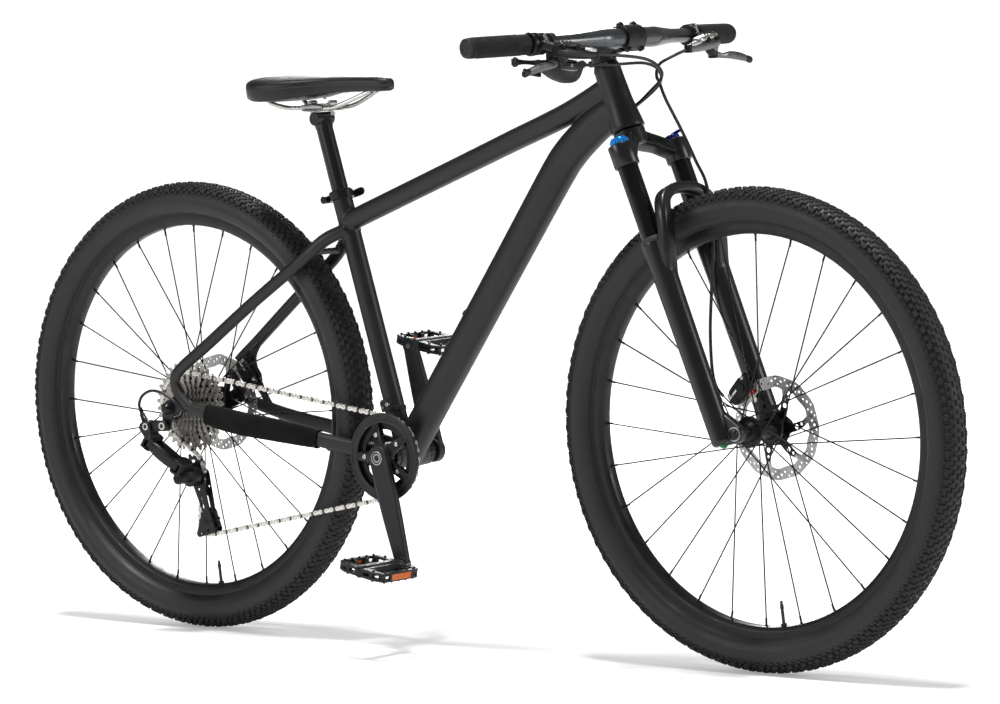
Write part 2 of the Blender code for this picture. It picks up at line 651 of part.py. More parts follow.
# ---------------------------------------------------------------- drive
def crank_arm(name, side, look="anodised"):
    """One crank arm with its pedal axle."""
    eye = pedal_centre(side)
    near = BB + Vector((0, side * 0.0672, 0))
    far = Vector((eye.x, side * 0.0815, eye.z))
    along = (far - near).normalized()
    path = [near, near.lerp(far, 0.5), far]
    across = along.cross(Y_AXIS)
    arm = tube(name, path, [(0.0190, 0.0062), (0.0182, 0.0062), (0.0130, 0.0060)], look, 10, across)
    hub_boss = disc(f"{name}_boss", BB, Y_AXIS, min(side * 0.0600, side * 0.0735),
                    max(side * 0.0600, side * 0.0735), 0.0200)
    pedal_boss = disc(f"{name}_eye", far, Y_AXIS, -0.0060, 0.0060, 0.0128, sides=16)
    axle = rod(f"{name}_axle", far, Vector((eye.x, side * 0.1850, eye.z)), 0.0045)
    return fuse(arm, hub_boss, pedal_boss, axle)


def crank_right():
    """The right arm with its five-armed spider and the spindle through the frame."""
    arm = crank_arm("crank_right", -1)
    spindle = rod("spindle", BB - 0.0620 * Y_AXIS, BB + 0.0735 * Y_AXIS, 0.0120, sides=16)
    centre = disc("spider_centre", BB, Y_AXIS, -0.0610, -0.0516, 0.0190)
    parts = [spindle, centre]
    for i in range(5):
        turn = -math.pi / 2 + CRANK_TURN + math.radians(36 + 72 * i)
        out = Vector((math.cos(turn), 0, math.sin(turn)))
        parts.append(block(f"spider_{i}", BB + out * 0.0365 - 0.0527 * Y_AXIS, (0.0470, 0.0022, 0.0130),
                           along=out, up=out.cross(Y_AXIS)))
    return fuse(arm, *parts)


def cranks():
    right = turn_about(crank_right(), BB)
    left = crank_arm("crank_left", 1)
    cut(left, rod("left_bore", BB + 0.050 * Y_AXIS, BB + 0.080 * Y_AXIS, 0.0123, sides=16))
    ring_radius = pitch_radius(RING_TEETH) - CHAIN_SEAT
    chainring = ring("chainring", BB, Y_AXIS, RING_Y - RING_HALF_THICKNESS, RING_Y + RING_HALF_THICKNESS,
                     0.0400, ring_radius, "black_steel", 32)
    guard = ring("guard_ring", BB, Y_AXIS, -0.0575, -0.0541, GUARD_INNER_RADIUS, 0.0710, "plastic", 36)
    for piece in (left, chainring, guard):
        turn_about(piece, BB)
    return right


def pedal(name, side):
    """A platform pedal: a frame with two windows round the barrel that turns on the axle."""
    centre = pedal_centre(side)
    centre.y = side * 0.1400
    body = block(name, centre, (0.0960, 0.0980, 0.0150), "plastic")
    barrel = rod(f"{name}_barrel", centre - 0.0490 * Y_AXIS, centre + 0.0490 * Y_AXIS, 0.0090, sides=12)
    fuse(body, barrel)
    for end in (-1, 1):
        middle = centre + Vector((end * 0.0260, 0, 0))
        cut(body, block(f"{name}_window_{end}", middle, (0.0300, 0.0760, 0.0300)))
    cut(body, rod(f"{name}_bore", centre - 0.06 * Y_AXIS, centre + 0.06 * Y_AXIS, 0.0049))
    turn_about(body, centre)
    body.rotation_euler.y = PEDAL_TILT
    return body


def belt_points(wheels, arc_step=0.2):
    """Points of a closed band round wheels of (centre, radius, spin), spin being +1 or -1."""
    count = len(wheels)
    leave = []
    for i in range(count):
        (a, ra, sa), (b, rb, sb) = wheels[i], wheels[(i + 1) % count]
        gap = Vector((b.x - a.x, b.z - a.z))
        lean = math.asin((sb * rb - sa * ra) / gap.length)
        heading = math.atan2(gap.y, gap.x) + lean
        normal = heading + math.pi / 2
        leave.append((Vector((a.x + sa * ra * math.cos(normal), a.y, a.z + sa * ra * math.sin(normal))),
                      Vector((b.x + sb * rb * math.cos(normal), b.y, b.z + sb * rb * math.sin(normal)))))
    points = []
    for i in range(count):
        centre, radius, spin = wheels[i]
        arrive, depart = leave[i - 1][1], leave[i][0]
        start = math.atan2(arrive.z - centre.z, arrive.x - centre.x)
        end = math.atan2(depart.z - centre.z, depart.x - centre.x)
        sweep = (end - start) % (2 * math.pi) if spin < 0 else -((start - end) % (2 * math.pi))
        steps = max(2, round(abs(sweep) / arc_step))
        for k in range(steps + 1):
            turn = start + sweep * k / steps
            points.append(centre + Vector((radius * math.cos(turn), 0, radius * math.sin(turn))))
    return points


def chain():
    """The chain as one closed band round ring, sprocket and both pulleys."""
    pulley = pitch_radius(PULLEY_TEETH)
    wheels = [(Vector((BB.x, RING_Y, BB.z)), pitch_radius(RING_TEETH), -1),
              (Vector((REAR_AXLE.x, COG_Y, REAR_AXLE.z)), pitch_radius(COG_TEETH), -1),
              (GUIDE_PULLEY, pulley, 1), (TENSION_PULLEY, pulley, -1)]
    corner = math.sqrt(2)
    section = (CHAIN_HALF_WIDTH * corner, CHAIN_HALF_HEIGHT * corner)
    return tube("chain", belt_points(wheels), section, "steel", 4, closed=True)


# ---------------------------------------------------------------- rear derailleur
def link(name, start, end, look="anodised"):
    """A parallelogram link between its two pivots."""
    axis = link_axis()
    body = tube(name, [start, end], (0.0055, 0.0022), look, 8, axis)
    for i, pivot in enumerate((start, end)):
        fuse(body, rod(f"{name}_pivot_{i}", pivot - axis * 0.0075, pivot + axis * 0.0075, 0.0042, sides=10))
    return turn_about(body, start)


def link_axis():
    """The pivots' direction: square to the links and level with the wheel's plane."""
    along = (LINK_BOTTOM - LINK_TOP).normalized()
    return along.cross(Y_AXIS).normalized()


def ears(name, pivot, back, height, lift):
    """Two ears, past either end of both links' pivots, and the wall behind that joins them."""
    axis = link_axis()
    middle = pivot + INNER_LINK_SHIFT / 2
    made = [block(f"{name}_ear_{side}", middle + back * 0.0033 + axis * side * 0.0100,
                  (0.0185, 0.0300, 0.0040), along=back, up=axis) for side in (-1, 1)]
    made.append(block(f"{name}_wall", middle + back * 0.0105 + axis * lift, (0.0038, 0.0296, height),
                      along=back, up=axis))
    return made


def derailleur():
    """Hanger, b-knuckle, two links, p-knuckle, cage and two pulleys."""
    hanger_y = -(REAR_INNER + 0.0073 + 0.0015)
    hanger = plate("derailleur_hanger",
                   hull_outline([(Vector((REAR_AXLE.x, hanger_y, REAR_AXLE.z)), 0.0120),
                                 (Vector((HANGER_BOLT.x, hanger_y, HANGER_BOLT.z)), 0.0090)], 6), 0.0030,
                   "anodised")
    cut(hanger, rod("hanger_bore", REAR_AXLE - 0.1 * Y_AXIS, REAR_AXLE, AXLE_RADIUS + GAP))
    b_y = -0.0860
    knuckle = plate("derailleur_b_knuckle",
                    hull_outline([(Vector((HANGER_BOLT.x, b_y, HANGER_BOLT.z)), 0.0080),
                                  (Vector((B_AXLE.x, b_y, B_AXLE.z)), 0.0100)], 6), 0.0150, "anodised")
    wedge = plate("b_wedge", hull_outline([(Vector((B_AXLE.x, b_y, B_AXLE.z)), 0.0095),
                                           (Vector((LINK_TOP.x, b_y, LINK_TOP.z + 0.0180)), 0.0060)], 6),
                  0.0120)
    along = (LINK_BOTTOM - LINK_TOP).normalized()
    fuse(knuckle, wedge, *ears("b", LINK_TOP, -along, 0.0340, 0.0050))
    link("derailleur_outer_link", LINK_TOP, LINK_BOTTOM)
    link("derailleur_inner_link", LINK_TOP + INNER_LINK_SHIFT, LINK_BOTTOM + INNER_LINK_SHIFT)
    p_knuckle = disc("derailleur_p_knuckle", CAGE_PIVOT, Y_AXIS, -0.0360, 0.0100, 0.0095, "anodised", 16)
    housing = disc("spring_housing", CAGE_PIVOT, Y_AXIS, -0.0060, 0.0106, 0.0165, sides=20)
    fuse(p_knuckle, housing, *ears("p", LINK_BOTTOM, along, 0.0236, 0.0))
    turn_about(p_knuckle, LINK_BOTTOM)


def cage():
    """The cage: two plates joined by the bolts that carry the pulleys."""
    plates = []
    for i, (y, top) in enumerate(((COG_Y - 0.0075, 0.0120), (COG_Y + 0.0075, 0.0090))):
        circles = [(Vector((GUIDE_PULLEY.x, y, GUIDE_PULLEY.z)), top),
                   (Vector((TENSION_PULLEY.x, y, TENSION_PULLEY.z)), 0.0190)]
        plates.append(plate("derailleur_cage" if i == 0 else "cage_inner", hull_outline(circles, 6),
                            0.0020, "anodised"))
    bolts = [rod(f"pulley_bolt_{i}", centre - 0.0080 * Y_AXIS, centre + 0.0080 * Y_AXIS, 0.0028, sides=8)
             for i, centre in enumerate((GUIDE_PULLEY, TENSION_PULLEY))]
    body = fuse(plates[0], plates[1], *bolts)
    turn_about(body, CAGE_PIVOT)
    for name, centre in (("guide_pulley", GUIDE_PULLEY), ("tension_pulley", TENSION_PULLEY)):
        wheel_radius = pitch_radius(PULLEY_TEETH) - CHAIN_SEAT
        pulley = ring(name, centre, Y_AXIS, -0.0040, 0.0040, 0.0032, wheel_radius, "plastic", 16)
        turn_about(pulley, centre)
    return body


# ---------------------------------------------------------------- cockpit
def stem():
    """Stem, its faceplate and the headset's top cap."""
    low, high = 0.6215, 0.6585
    body = ring("stem", STEER_FOOT, STEER_UP, low, high, STEERER_RADIUS + GAP, 0.0190, "gloss", 20)
    reach = BAR_CENTRE - steer_point(0.640)
    neck = tube("stem_neck", [steer_point(0.640) + reach * 0.31, BAR_CENTRE - reach * 0.2],
                (0.0165, 0.0150), sides=12)
    holder = disc("bar_holder", BAR_CENTRE, Y_AXIS, -0.0220, 0.0220, 0.0205, sides=24)
    fuse(body, neck, holder)
    forward = STEER_FORWARD
    front_box = block("front_box", BAR_CENTRE + forward * 0.0310, (0.0580, 0.080, 0.080), along=forward,
                      up=STEER_UP)
    bar_bore = rod("bar_bore", BAR_CENTRE - 0.05 * Y_AXIS, BAR_CENTRE + 0.05 * Y_AXIS,
                   BAR_CLAMP_RADIUS + GAP, sides=24)
    cut(body, front_box, bar_bore)
    face = disc("stem_faceplate", BAR_CENTRE, Y_AXIS, -0.0220, 0.0220, 0.0205, "gloss", 24)
    back_box = block("back_box", BAR_CENTRE - forward * 0.0265, (0.0580, 0.080, 0.080), along=forward,
                     up=STEER_UP)
    face_bore = rod("face_bore", BAR_CENTRE - 0.05 * Y_AXIS, BAR_CENTRE + 0.05 * Y_AXIS,
                    BAR_CLAMP_RADIUS + GAP, sides=24)
    cut(face, back_box, face_bore)
    disc("top_cap", STEER_FOOT, STEER_UP, high + GAP, high + 0.0045, 0.0160, "gloss", 20)


def handlebar():
    stations = [(BAR_HALF, BAR_END_RADIUS), (0.130, BAR_END_RADIUS), (0.085, 0.0140),
                (BAR_BEND, BAR_CLAMP_RADIUS),
                (0.030, BAR_CLAMP_RADIUS)]
    path = [bar_point(-reach) for reach, _ in stations] + [bar_point(reach) for reach,
                                                           _ in reversed(stations)]
    sizes = [radius for _, radius in stations] + [radius for _, radius in reversed(stations)]
    return tube("handlebar", path, sizes, "anodised", 14, Z_AXIS)


def grip(name, side):
    end = bar_point(side * (BAR_HALF + 0.0015))
    length = (BAR_HALF - GRIP_INNER) / math.cos(BAR_SWEEP)
    return turned(name, [(-length, BAR_END_RADIUS + GAP), (-0.0010, BAR_END_RADIUS + GAP), (-0.0010, 0),
                         (0.0030, 0), (0.0030, 0.0145), (0, 0.0165), (-length, 0.0160)],
                  end, bar_direction(side), "rubber", 16)


def brake_lever(name, side):
    """The lever's body, clamped on the handlebar, and its blade on a pivot."""
    out = bar_direction(side)
    seat = bar_point(side * 0.1880)
    body = ring(f"{name}_body", seat, out, -0.0060, 0.0060, BAR_END_RADIUS + GAP, 0.0160, "gloss", 14)
    neck = rod(f"{name}_neck", bar_point(side * 0.1880, 0.0140, -0.002),
               bar_point(side * 0.1800, 0.0400, -0.0110), 0.0060, sides=8)
    cylinder = rod(f"{name}_cylinder", bar_point(side * 0.1180, 0.0385, -0.0200),
                   bar_point(side * 0.1980, 0.0450, -0.0110), 0.0085, sides=12)
    fuse(body, neck, cylinder)
    pivot = bar_point(side * 0.1900, 0.0420, -0.0290)
    blade = tube(f"{name}_blade", [pivot, bar_point(side * 0.2050, 0.0475, -0.0315),
                                   bar_point(side * 0.2200, 0.0550, -0.0315),
                                   bar_point(side * 0.2500, 0.0620, -0.0345),
                                   bar_point(side * 0.2720, 0.0655, -0.0390),
                                   bar_point(side * 0.2810, 0.0675, -0.0415)],
                 [(0.0050, 0.0060), (0.0045, 0.0045), (0.0060, 0.0032), (0.0068, 0.0028), (0.0062, 0.0030),
                  (0.0050, 0.0035)],
                 "alloy", 8, Z_AXIS)
    fuse(blade, disc(f"{name}_eye", pivot, Z_AXIS, -0.0050, 0.0050, 0.0062, sides=12))
    turn_about(blade, pivot)


def shifter():
    """The shifter's pod under the right of the handlebar, with its two thumb levers."""
    clamp = ring("shifter_body", bar_point(-0.1640), bar_direction(-1), -0.0050, 0.0050,
                 BAR_END_RADIUS + GAP, 0.0155,
                 "plastic", 14)
    neck = rod("shifter_neck", bar_point(-0.1640, -0.002, -0.0135), bar_point(-0.1560, -0.004, -0.0300),
               0.0065, sides=8)
    pod = tube("shifter_pod", [bar_point(-0.1800, -0.004, -0.0290), bar_point(-0.1700, -0.004, -0.0340),
                               bar_point(-0.1450, -0.002, -0.0420), bar_point(-0.1250, 0.002, -0.0400),
                               bar_point(-0.1180, 0.004, -0.0360)],
               [(0.0100, 0.0040), (0.0160, 0.0090), (0.0190, 0.0160), (0.0150, 0.0130), (0.0080, 0.0060)],
               sides=10, across=X_AXIS)
    fuse(clamp, neck, pod)
    main_pivot = bar_point(-0.1560, -0.0290, -0.0300)
    paddle = tube("shift_paddle", [main_pivot, bar_point(-0.1850, -0.0330, -0.0290), bar_point(-0.2050,
                                                                                               -0.0360,
                                                                                               -0.0280),
                                   bar_point(-0.2150, -0.0370, -0.0270)],
                  [(0.0040, 0.0040), (0.0035, 0.0030), (0.0085, 0.0050), (0.0060, 0.0040)], "plastic", 8,
                  Z_AXIS)
    turn_about(paddle, main_pivot)
    small_pivot = bar_point(-0.1560, -0.0290, -0.0480)
    release = tube("release_paddle", [small_pivot, bar_point(-0.1750, -0.0300, -0.0470), bar_point(-0.1900,
                                                                                                   -0.0300,
                                                                                                   -0.0450),
                                      bar_point(-0.1960, -0.0300, -0.0440)],
                   [(0.0035, 0.0035), (0.0030, 0.0025), (0.0065, 0.0030), (0.0045, 0.0025)], "plastic", 8,
                   Z_AXIS)
    turn_about(release, small_pivot)


def smooth_path(points, steps=4):
    """More points on a curve through the given ones (Catmull-Rom)."""
    made = []
    for i in range(len(points) - 1):
        before, start = points[max(i - 1, 0)], points[i]
        end, after = points[i + 1], points[min(i + 2, len(points) - 1)]
        for k in range(steps):
            t = k / steps
            bend = 2 * before - 5 * start + 4 * end - after
            twist = 3 * start - before - 3 * end + after
            made.append(0.5 * (2 * start + (end - before) * t + bend * t * t + twist * t ** 3))
    made.append(points[-1])
    return made


def hoses():
    """The brake hoses and the shift housing, from the levers to the caliper and the frame."""
    front = [bar_point(0.1140, 0.0380, -0.0208), Vector((0.4975, 0.0850, 0.9345)),
             Vector((0.4860, 0.0680, 0.9245)), Vector((0.4830, 0.0620, 0.9142)),
             Vector((0.4845, 0.0590, 0.9030)), steer_point(0.569, 0.0435, 0.057),
             steer_point(0.540, 0.0460, 0.055), steer_point(0.4850, 0.0600, 0.048),
             steer_point(0.4300, 0.0680, 0.046), steer_point(0.3850, 0.0735, 0.044),
             steer_point(0.3100, 0.0560, 0.0400), steer_point(0.2400, 0.0220, 0.0395),
             steer_point(0.1800, -0.0080, 0.0400), steer_point(0.1250, -0.0290, 0.0405),
             steer_point(0.0980, -0.0335, 0.0420), steer_point(0.0800, -0.0290, 0.0450)]
    rear = [bar_point(-0.1140, 0.0380, -0.0208), Vector((0.515, -0.070, 0.9410)),
            Vector((0.523, -0.030, 0.9360)), Vector((0.5265, -0.008, 0.9300)),
            Vector((0.5260, 0.012, 0.9200)), Vector((0.5210, 0.026, 0.9085)),
            Vector((0.5070, 0.035, 0.8960)), Vector((0.485, 0.041, 0.8820)),
            Vector((0.463, 0.042, 0.8655)), Vector((0.438, 0.0370, 0.8490)), Vector((0.418, 0.0320, 0.8360))]
    shift = [bar_point(-0.1150, 0.004, -0.0360), Vector((0.485, -0.060, 0.9265)),
             Vector((0.490, -0.028, 0.9270)), Vector((0.5040, 0.001, 0.9270)),
             Vector((0.5105, 0.022, 0.9205)), Vector((0.5090, 0.036, 0.9110)),
             Vector((0.5030, 0.046, 0.8990)), Vector((0.4870, 0.052, 0.8855)),
             Vector((0.466, 0.053, 0.8710)), Vector((0.442, 0.0480, 0.8530)),
             Vector((0.418, 0.0400, 0.8300)), Vector((0.402, 0.0330, 0.8160))]
    for name, points in (("front_brake_hose", front), ("rear_brake_hose", rear), ("shift_housing", shift)):
        tube(name, smooth_path(points, 2), 0.0025, "plastic", 5, X_AXIS)


# ---------------------------------------------------------------- seat
def seatpost():
    """The post with the round head that the saddle's clamp tilts on."""
    post = rod("seatpost", seat_point(0.300), seat_point(POST_TOP), POST_RADIUS, "gloss", 16)
    head = seat_point(SADDLE_AXIS)
    barrel = rod("post_head", head - 0.0200 * Y_AXIS, head + 0.0200 * Y_AXIS, 0.0110, sides=16)
    return fuse(post, barrel)


def saddle():
    """The clamp, the rails and the cover; they tilt on the post's round head."""
    head = seat_point(SADDLE_AXIS)
    level = Vector((head.x, 0, 0))
    clamp = block("saddle_clamp", level + Vector((0.002, 0, 0.8568)), (0.0460, 0.0560, 0.0014), "anodised")
    web = block("clamp_web", level + Vector((0.002, 0, 0.8630)), (0.0400, 0.0300, 0.0140))
    upper = block("clamp_upper", level + Vector((0.002, 0, 0.8668)), (0.0420, 0.0560, 0.0040))
    fuse(clamp, web, upper)
    rail_half = [Vector((-0.2300, 0.0420, 0.8700)), Vector((-0.2080, 0.0260, 0.8620)),
                 Vector((-0.1900, 0.0220, 0.8612)),
                 Vector((-0.1180, 0.0220, 0.8612)), Vector((-0.0980, 0.0210, 0.8660)),
                 Vector((-0.0560, 0.0120, 0.8820))]
    nose = [Vector((-0.0460, 0.0060, 0.8840)), Vector((-0.0460, -0.0060, 0.8840))]
    mirrored = [Vector((p.x, -p.y, p.z)) for p in reversed(rail_half)]
    tube("saddle_rails", rail_half + nose + mirrored, 0.0034, "steel", 8, Z_AXIS)
    stations = [(-0.2850, 0.0300, 0.8860, 0.9020), (-0.2720, 0.0560, 0.8800, 0.9090), (-0.2450, 0.0710,
                                                                                       0.8755, 0.9130),
                (-0.2100, 0.0700, 0.8755, 0.9130), (-0.1750, 0.0560, 0.8790, 0.9120), (-0.1350, 0.0370,
                                                                                       0.8840, 0.9115),
                (-0.0950, 0.0250, 0.8870, 0.9115), (-0.0500, 0.0200, 0.8885, 0.9115), (-0.0200, 0.0160,
                                                                                       0.8890, 0.9095),
                (-0.0080, 0.0080, 0.8930, 0.9040)]
    rings = []
    for x, half, low, high in stations:
        centre = Vector((x, 0, (low + high) / 2))
        rings.append(oval(centre, Y_AXIS, Z_AXIS, half, (high - low) / 2, 12))
    loft("saddle_cover", rings, "cover")
    for name in ("saddle_clamp", "saddle_rails", "saddle_cover"):
        turn_about(bpy.data.objects[name], head)


# ---------------------------------------------------------------- assembly
def centre_between_axles():
    """Moves everything so that the origin is on the ground midway between the axles."""
    middle = (REAR_AXLE.x + FRONT_AXLE.x) / 2
    for obj in bpy.data.objects:
        obj.location.x -= middle


def main():
    clear_scene()
    frame()
    headset()
    bottom_bracket()
    seat_clamp()
    rear_axle()
    crown_unit()
    fork_controls()
    fork_lowers()
    front_axle()
    caliper("front_caliper", FRONT_AXLE, 0.0395, math.radians(138), 0.0250, 0.0462)
    caliper("rear_caliper", REAR_AXLE, 0.0520, math.radians(38), 0.0385, 0.0600)
    wheel("front", FRONT_AXLE, -0.0290, 0.0230, -0.0497, 0.0497, 0.0395)
    wheel("rear", REAR_AXLE, -0.0200, 0.0330, -0.0672, 0.0672, 0.0520)
    cassette()
    cranks()
    pedal("pedal_right", -1)
    pedal("pedal_left", 1)
    chain()
    derailleur()
    cage()
    stem()
    handlebar()
    grip("grip_right", -1)
    grip("grip_left", 1)
    brake_lever("brake_lever_right", -1)
    brake_lever("brake_lever_left", 1)
    shifter()
    hoses()
    seatpost()
    saddle()
    centre_between_axles()


main()
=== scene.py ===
"""The looks of a hardtail mountain bike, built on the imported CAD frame.

Pieces are drawn in millimetres with the bottom bracket's axis at x = 0, +X forward, +Y to the left
and +Z up. They are scaled to metres and shifted to the frame's own origin when they are placed.
"""

from math import asin, atan2, copysign, cos, exp, pi, radians, sin, tan

import bmesh
import bpy
from mathutils import Matrix, Vector


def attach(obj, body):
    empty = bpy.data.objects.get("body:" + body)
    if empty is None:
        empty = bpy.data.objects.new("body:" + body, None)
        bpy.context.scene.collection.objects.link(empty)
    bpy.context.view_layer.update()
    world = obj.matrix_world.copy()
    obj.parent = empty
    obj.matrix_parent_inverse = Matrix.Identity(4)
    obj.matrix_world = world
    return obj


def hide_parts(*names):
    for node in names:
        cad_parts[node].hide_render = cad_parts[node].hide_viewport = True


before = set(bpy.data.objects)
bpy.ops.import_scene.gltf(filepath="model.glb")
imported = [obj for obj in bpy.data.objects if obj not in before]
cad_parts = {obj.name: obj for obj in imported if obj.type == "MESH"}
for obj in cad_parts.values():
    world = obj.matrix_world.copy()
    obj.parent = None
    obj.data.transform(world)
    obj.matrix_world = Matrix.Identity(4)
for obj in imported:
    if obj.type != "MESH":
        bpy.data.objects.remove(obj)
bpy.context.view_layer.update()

# ---------------------------------------------------------------- driving dimensions
MM = 0.001
SHIFT = Vector((-0.1305, 0, 0))  # metres, from the bottom bracket to the frame's origin
EDGE_WEAR_WIDTH = 0.0008  # metres
WAVE_SCALE = 0.314  # wave texture scale times the pitch of its bands
X = Vector((1, 0, 0))
Y = Vector((0, 1, 0))
Z = Vector((0, 0, 1))
TAU = 2 * pi

REAR_AXLE = Vector((-450, 0, 370))
FRONT_AXLE = Vector((711, 0, 370))
BB = Vector((0, 0, 306))
HEAD_ANGLE = radians(68)
SEAT_ANGLE = radians(73.7)
STEER_UP = Vector((-cos(HEAD_ANGLE), 0, sin(HEAD_ANGLE)))
STEER_FORWARD = Vector((sin(HEAD_ANGLE), 0, cos(HEAD_ANGLE)))
STEER_FOOT = FRONT_AXLE - 51 * STEER_FORWARD
SEAT_UP = Vector((-cos(SEAT_ANGLE), 0, sin(SEAT_ANGLE)))
SEAT_FORWARD = Vector((sin(SEAT_ANGLE), 0, cos(SEAT_ANGLE)))
DOWN_BEND = Vector((303, 0, 720.5))

CASING_CENTRE = 339.4
CASING_HALF_WIDTH = 29.2
CASING_HEIGHT = 28.4
RIM_OUTER_RADIUS = 316.5
RIM_INNER_RADIUS = 298
RIM_HALF_WIDTH = 13.5
SPOKES = 28
SPOKE_LEAN = radians(68)
SPOKE_STAGGER = 1.5

LEG_OFFSET = 25
LEG_SIDE = 65
STANCHION_RADIUS = 16

BAR_CENTRE = Vector((477, 0, 965.5))
BAR_HALF = 320
BAR_BEND = 60
BAR_SWEEP = radians(11.5)
BAR_FALL = 0.07
SEAM_STAND = 1.002
GRIP_INNER = 208

CRANK_LENGTH = 175
CRANK_TURN = radians(18.3)
PEDAL_TILT = radians(11)
CHAIN_PITCH = 12.7
RING_TEETH = 32
COG_TEETH = 28
PULLEY_TEETH = 11
RING_Y = -50.1
COG_Y = -30.1
GUIDE_PULLEY = Vector((-441, COG_Y, 269))
TENSION_PULLEY = Vector((-409, COG_Y, 181))
CAGE_PIVOT = Vector((-430, -50, 255.5))
HANGER_BOLT = Vector((-454, -78, 342.5))
B_AXLE = Vector((-487, -78, 341))
LINK_TOP = Vector((-484, -88, 313))
LINK_BOTTOM = Vector((-434, -80, 276))
INNER_LINK_SHIFT = Vector((0, 17, 0))


# ---------------------------------------------------------------- places
def steer_point(up, forward=0, side=0):
    return STEER_FOOT + up * STEER_UP + forward * STEER_FORWARD + side * Y


def seat_point(up, forward=0, side=0):
    return BB + up * SEAT_UP + forward * SEAT_FORWARD + side * Y


def bar_point(reach, ahead=0, above=0):
    """A point by the handlebar; reach is its signed distance from the middle, positive to the left."""
    swept = max(abs(reach) - BAR_BEND, 0) * tan(BAR_SWEEP)
    return BAR_CENTRE + Vector((ahead - swept, reach, above - BAR_FALL * swept))


def bar_direction(side):
    back = tan(BAR_SWEEP)
    return Vector((-back, side, -BAR_FALL * back)).normalized()


def xyz(*rows, side=1):
    """Points from (x, y, z) rows; side is -1 to mirror them to the other side of the bike."""
    return [Vector((x, side * y, z)) for x, y, z in rows]


def steer_points(*rows, side=1):
    return [steer_point(up, forward, side * out) for up, forward, out in rows]


def seat_points(*rows, side=1):
    return [seat_point(up, forward, side * out) for up, forward, out in rows]


def polar(radius, turn):
    return radius * cos(turn), radius * sin(turn)


def outward(turn):
    """The direction at an angle round a cross-wise axis, counted from straight ahead towards up."""
    return Vector((cos(turn), 0, sin(turn)))


def around(centre, turn, radius, y=0):
    """A point at an angle round a cross-wise axis, counted from straight ahead towards up."""
    return centre + Vector((radius * cos(turn), y, radius * sin(turn)))


def pitch_radius(teeth):
    return CHAIN_PITCH / (2 * sin(pi / teeth))


def pedal_centre(side):
    down = Vector((sin(CRANK_TURN), 0, -cos(CRANK_TURN)))
    return BB + (-side) * CRANK_LENGTH * down + Vector((0, side * 140, 0))


def smooth_path(points, steps=6):
    """More points on a curve through the given ones."""
    made = []
    for i in range(len(points) - 1):
        before, start = points[max(i - 1, 0)], points[i]
        end, after = points[i + 1], points[min(i + 2, len(points) - 1)]
        for k in range(steps):
            t = k / steps
            made.append(
                0.5 * (
                    2 * start + (end - before) * t + (2 * before - 5 * start + 4 * end - after) * t * t
                    + (3 * start - before - 3 * end + after) * t ** 3))
    made.append(points[-1])
    return made


def smooth_numbers(values, steps=6):
    return [v.x for v in smooth_path([Vector((value, 0, 0)) for value in values], steps)]


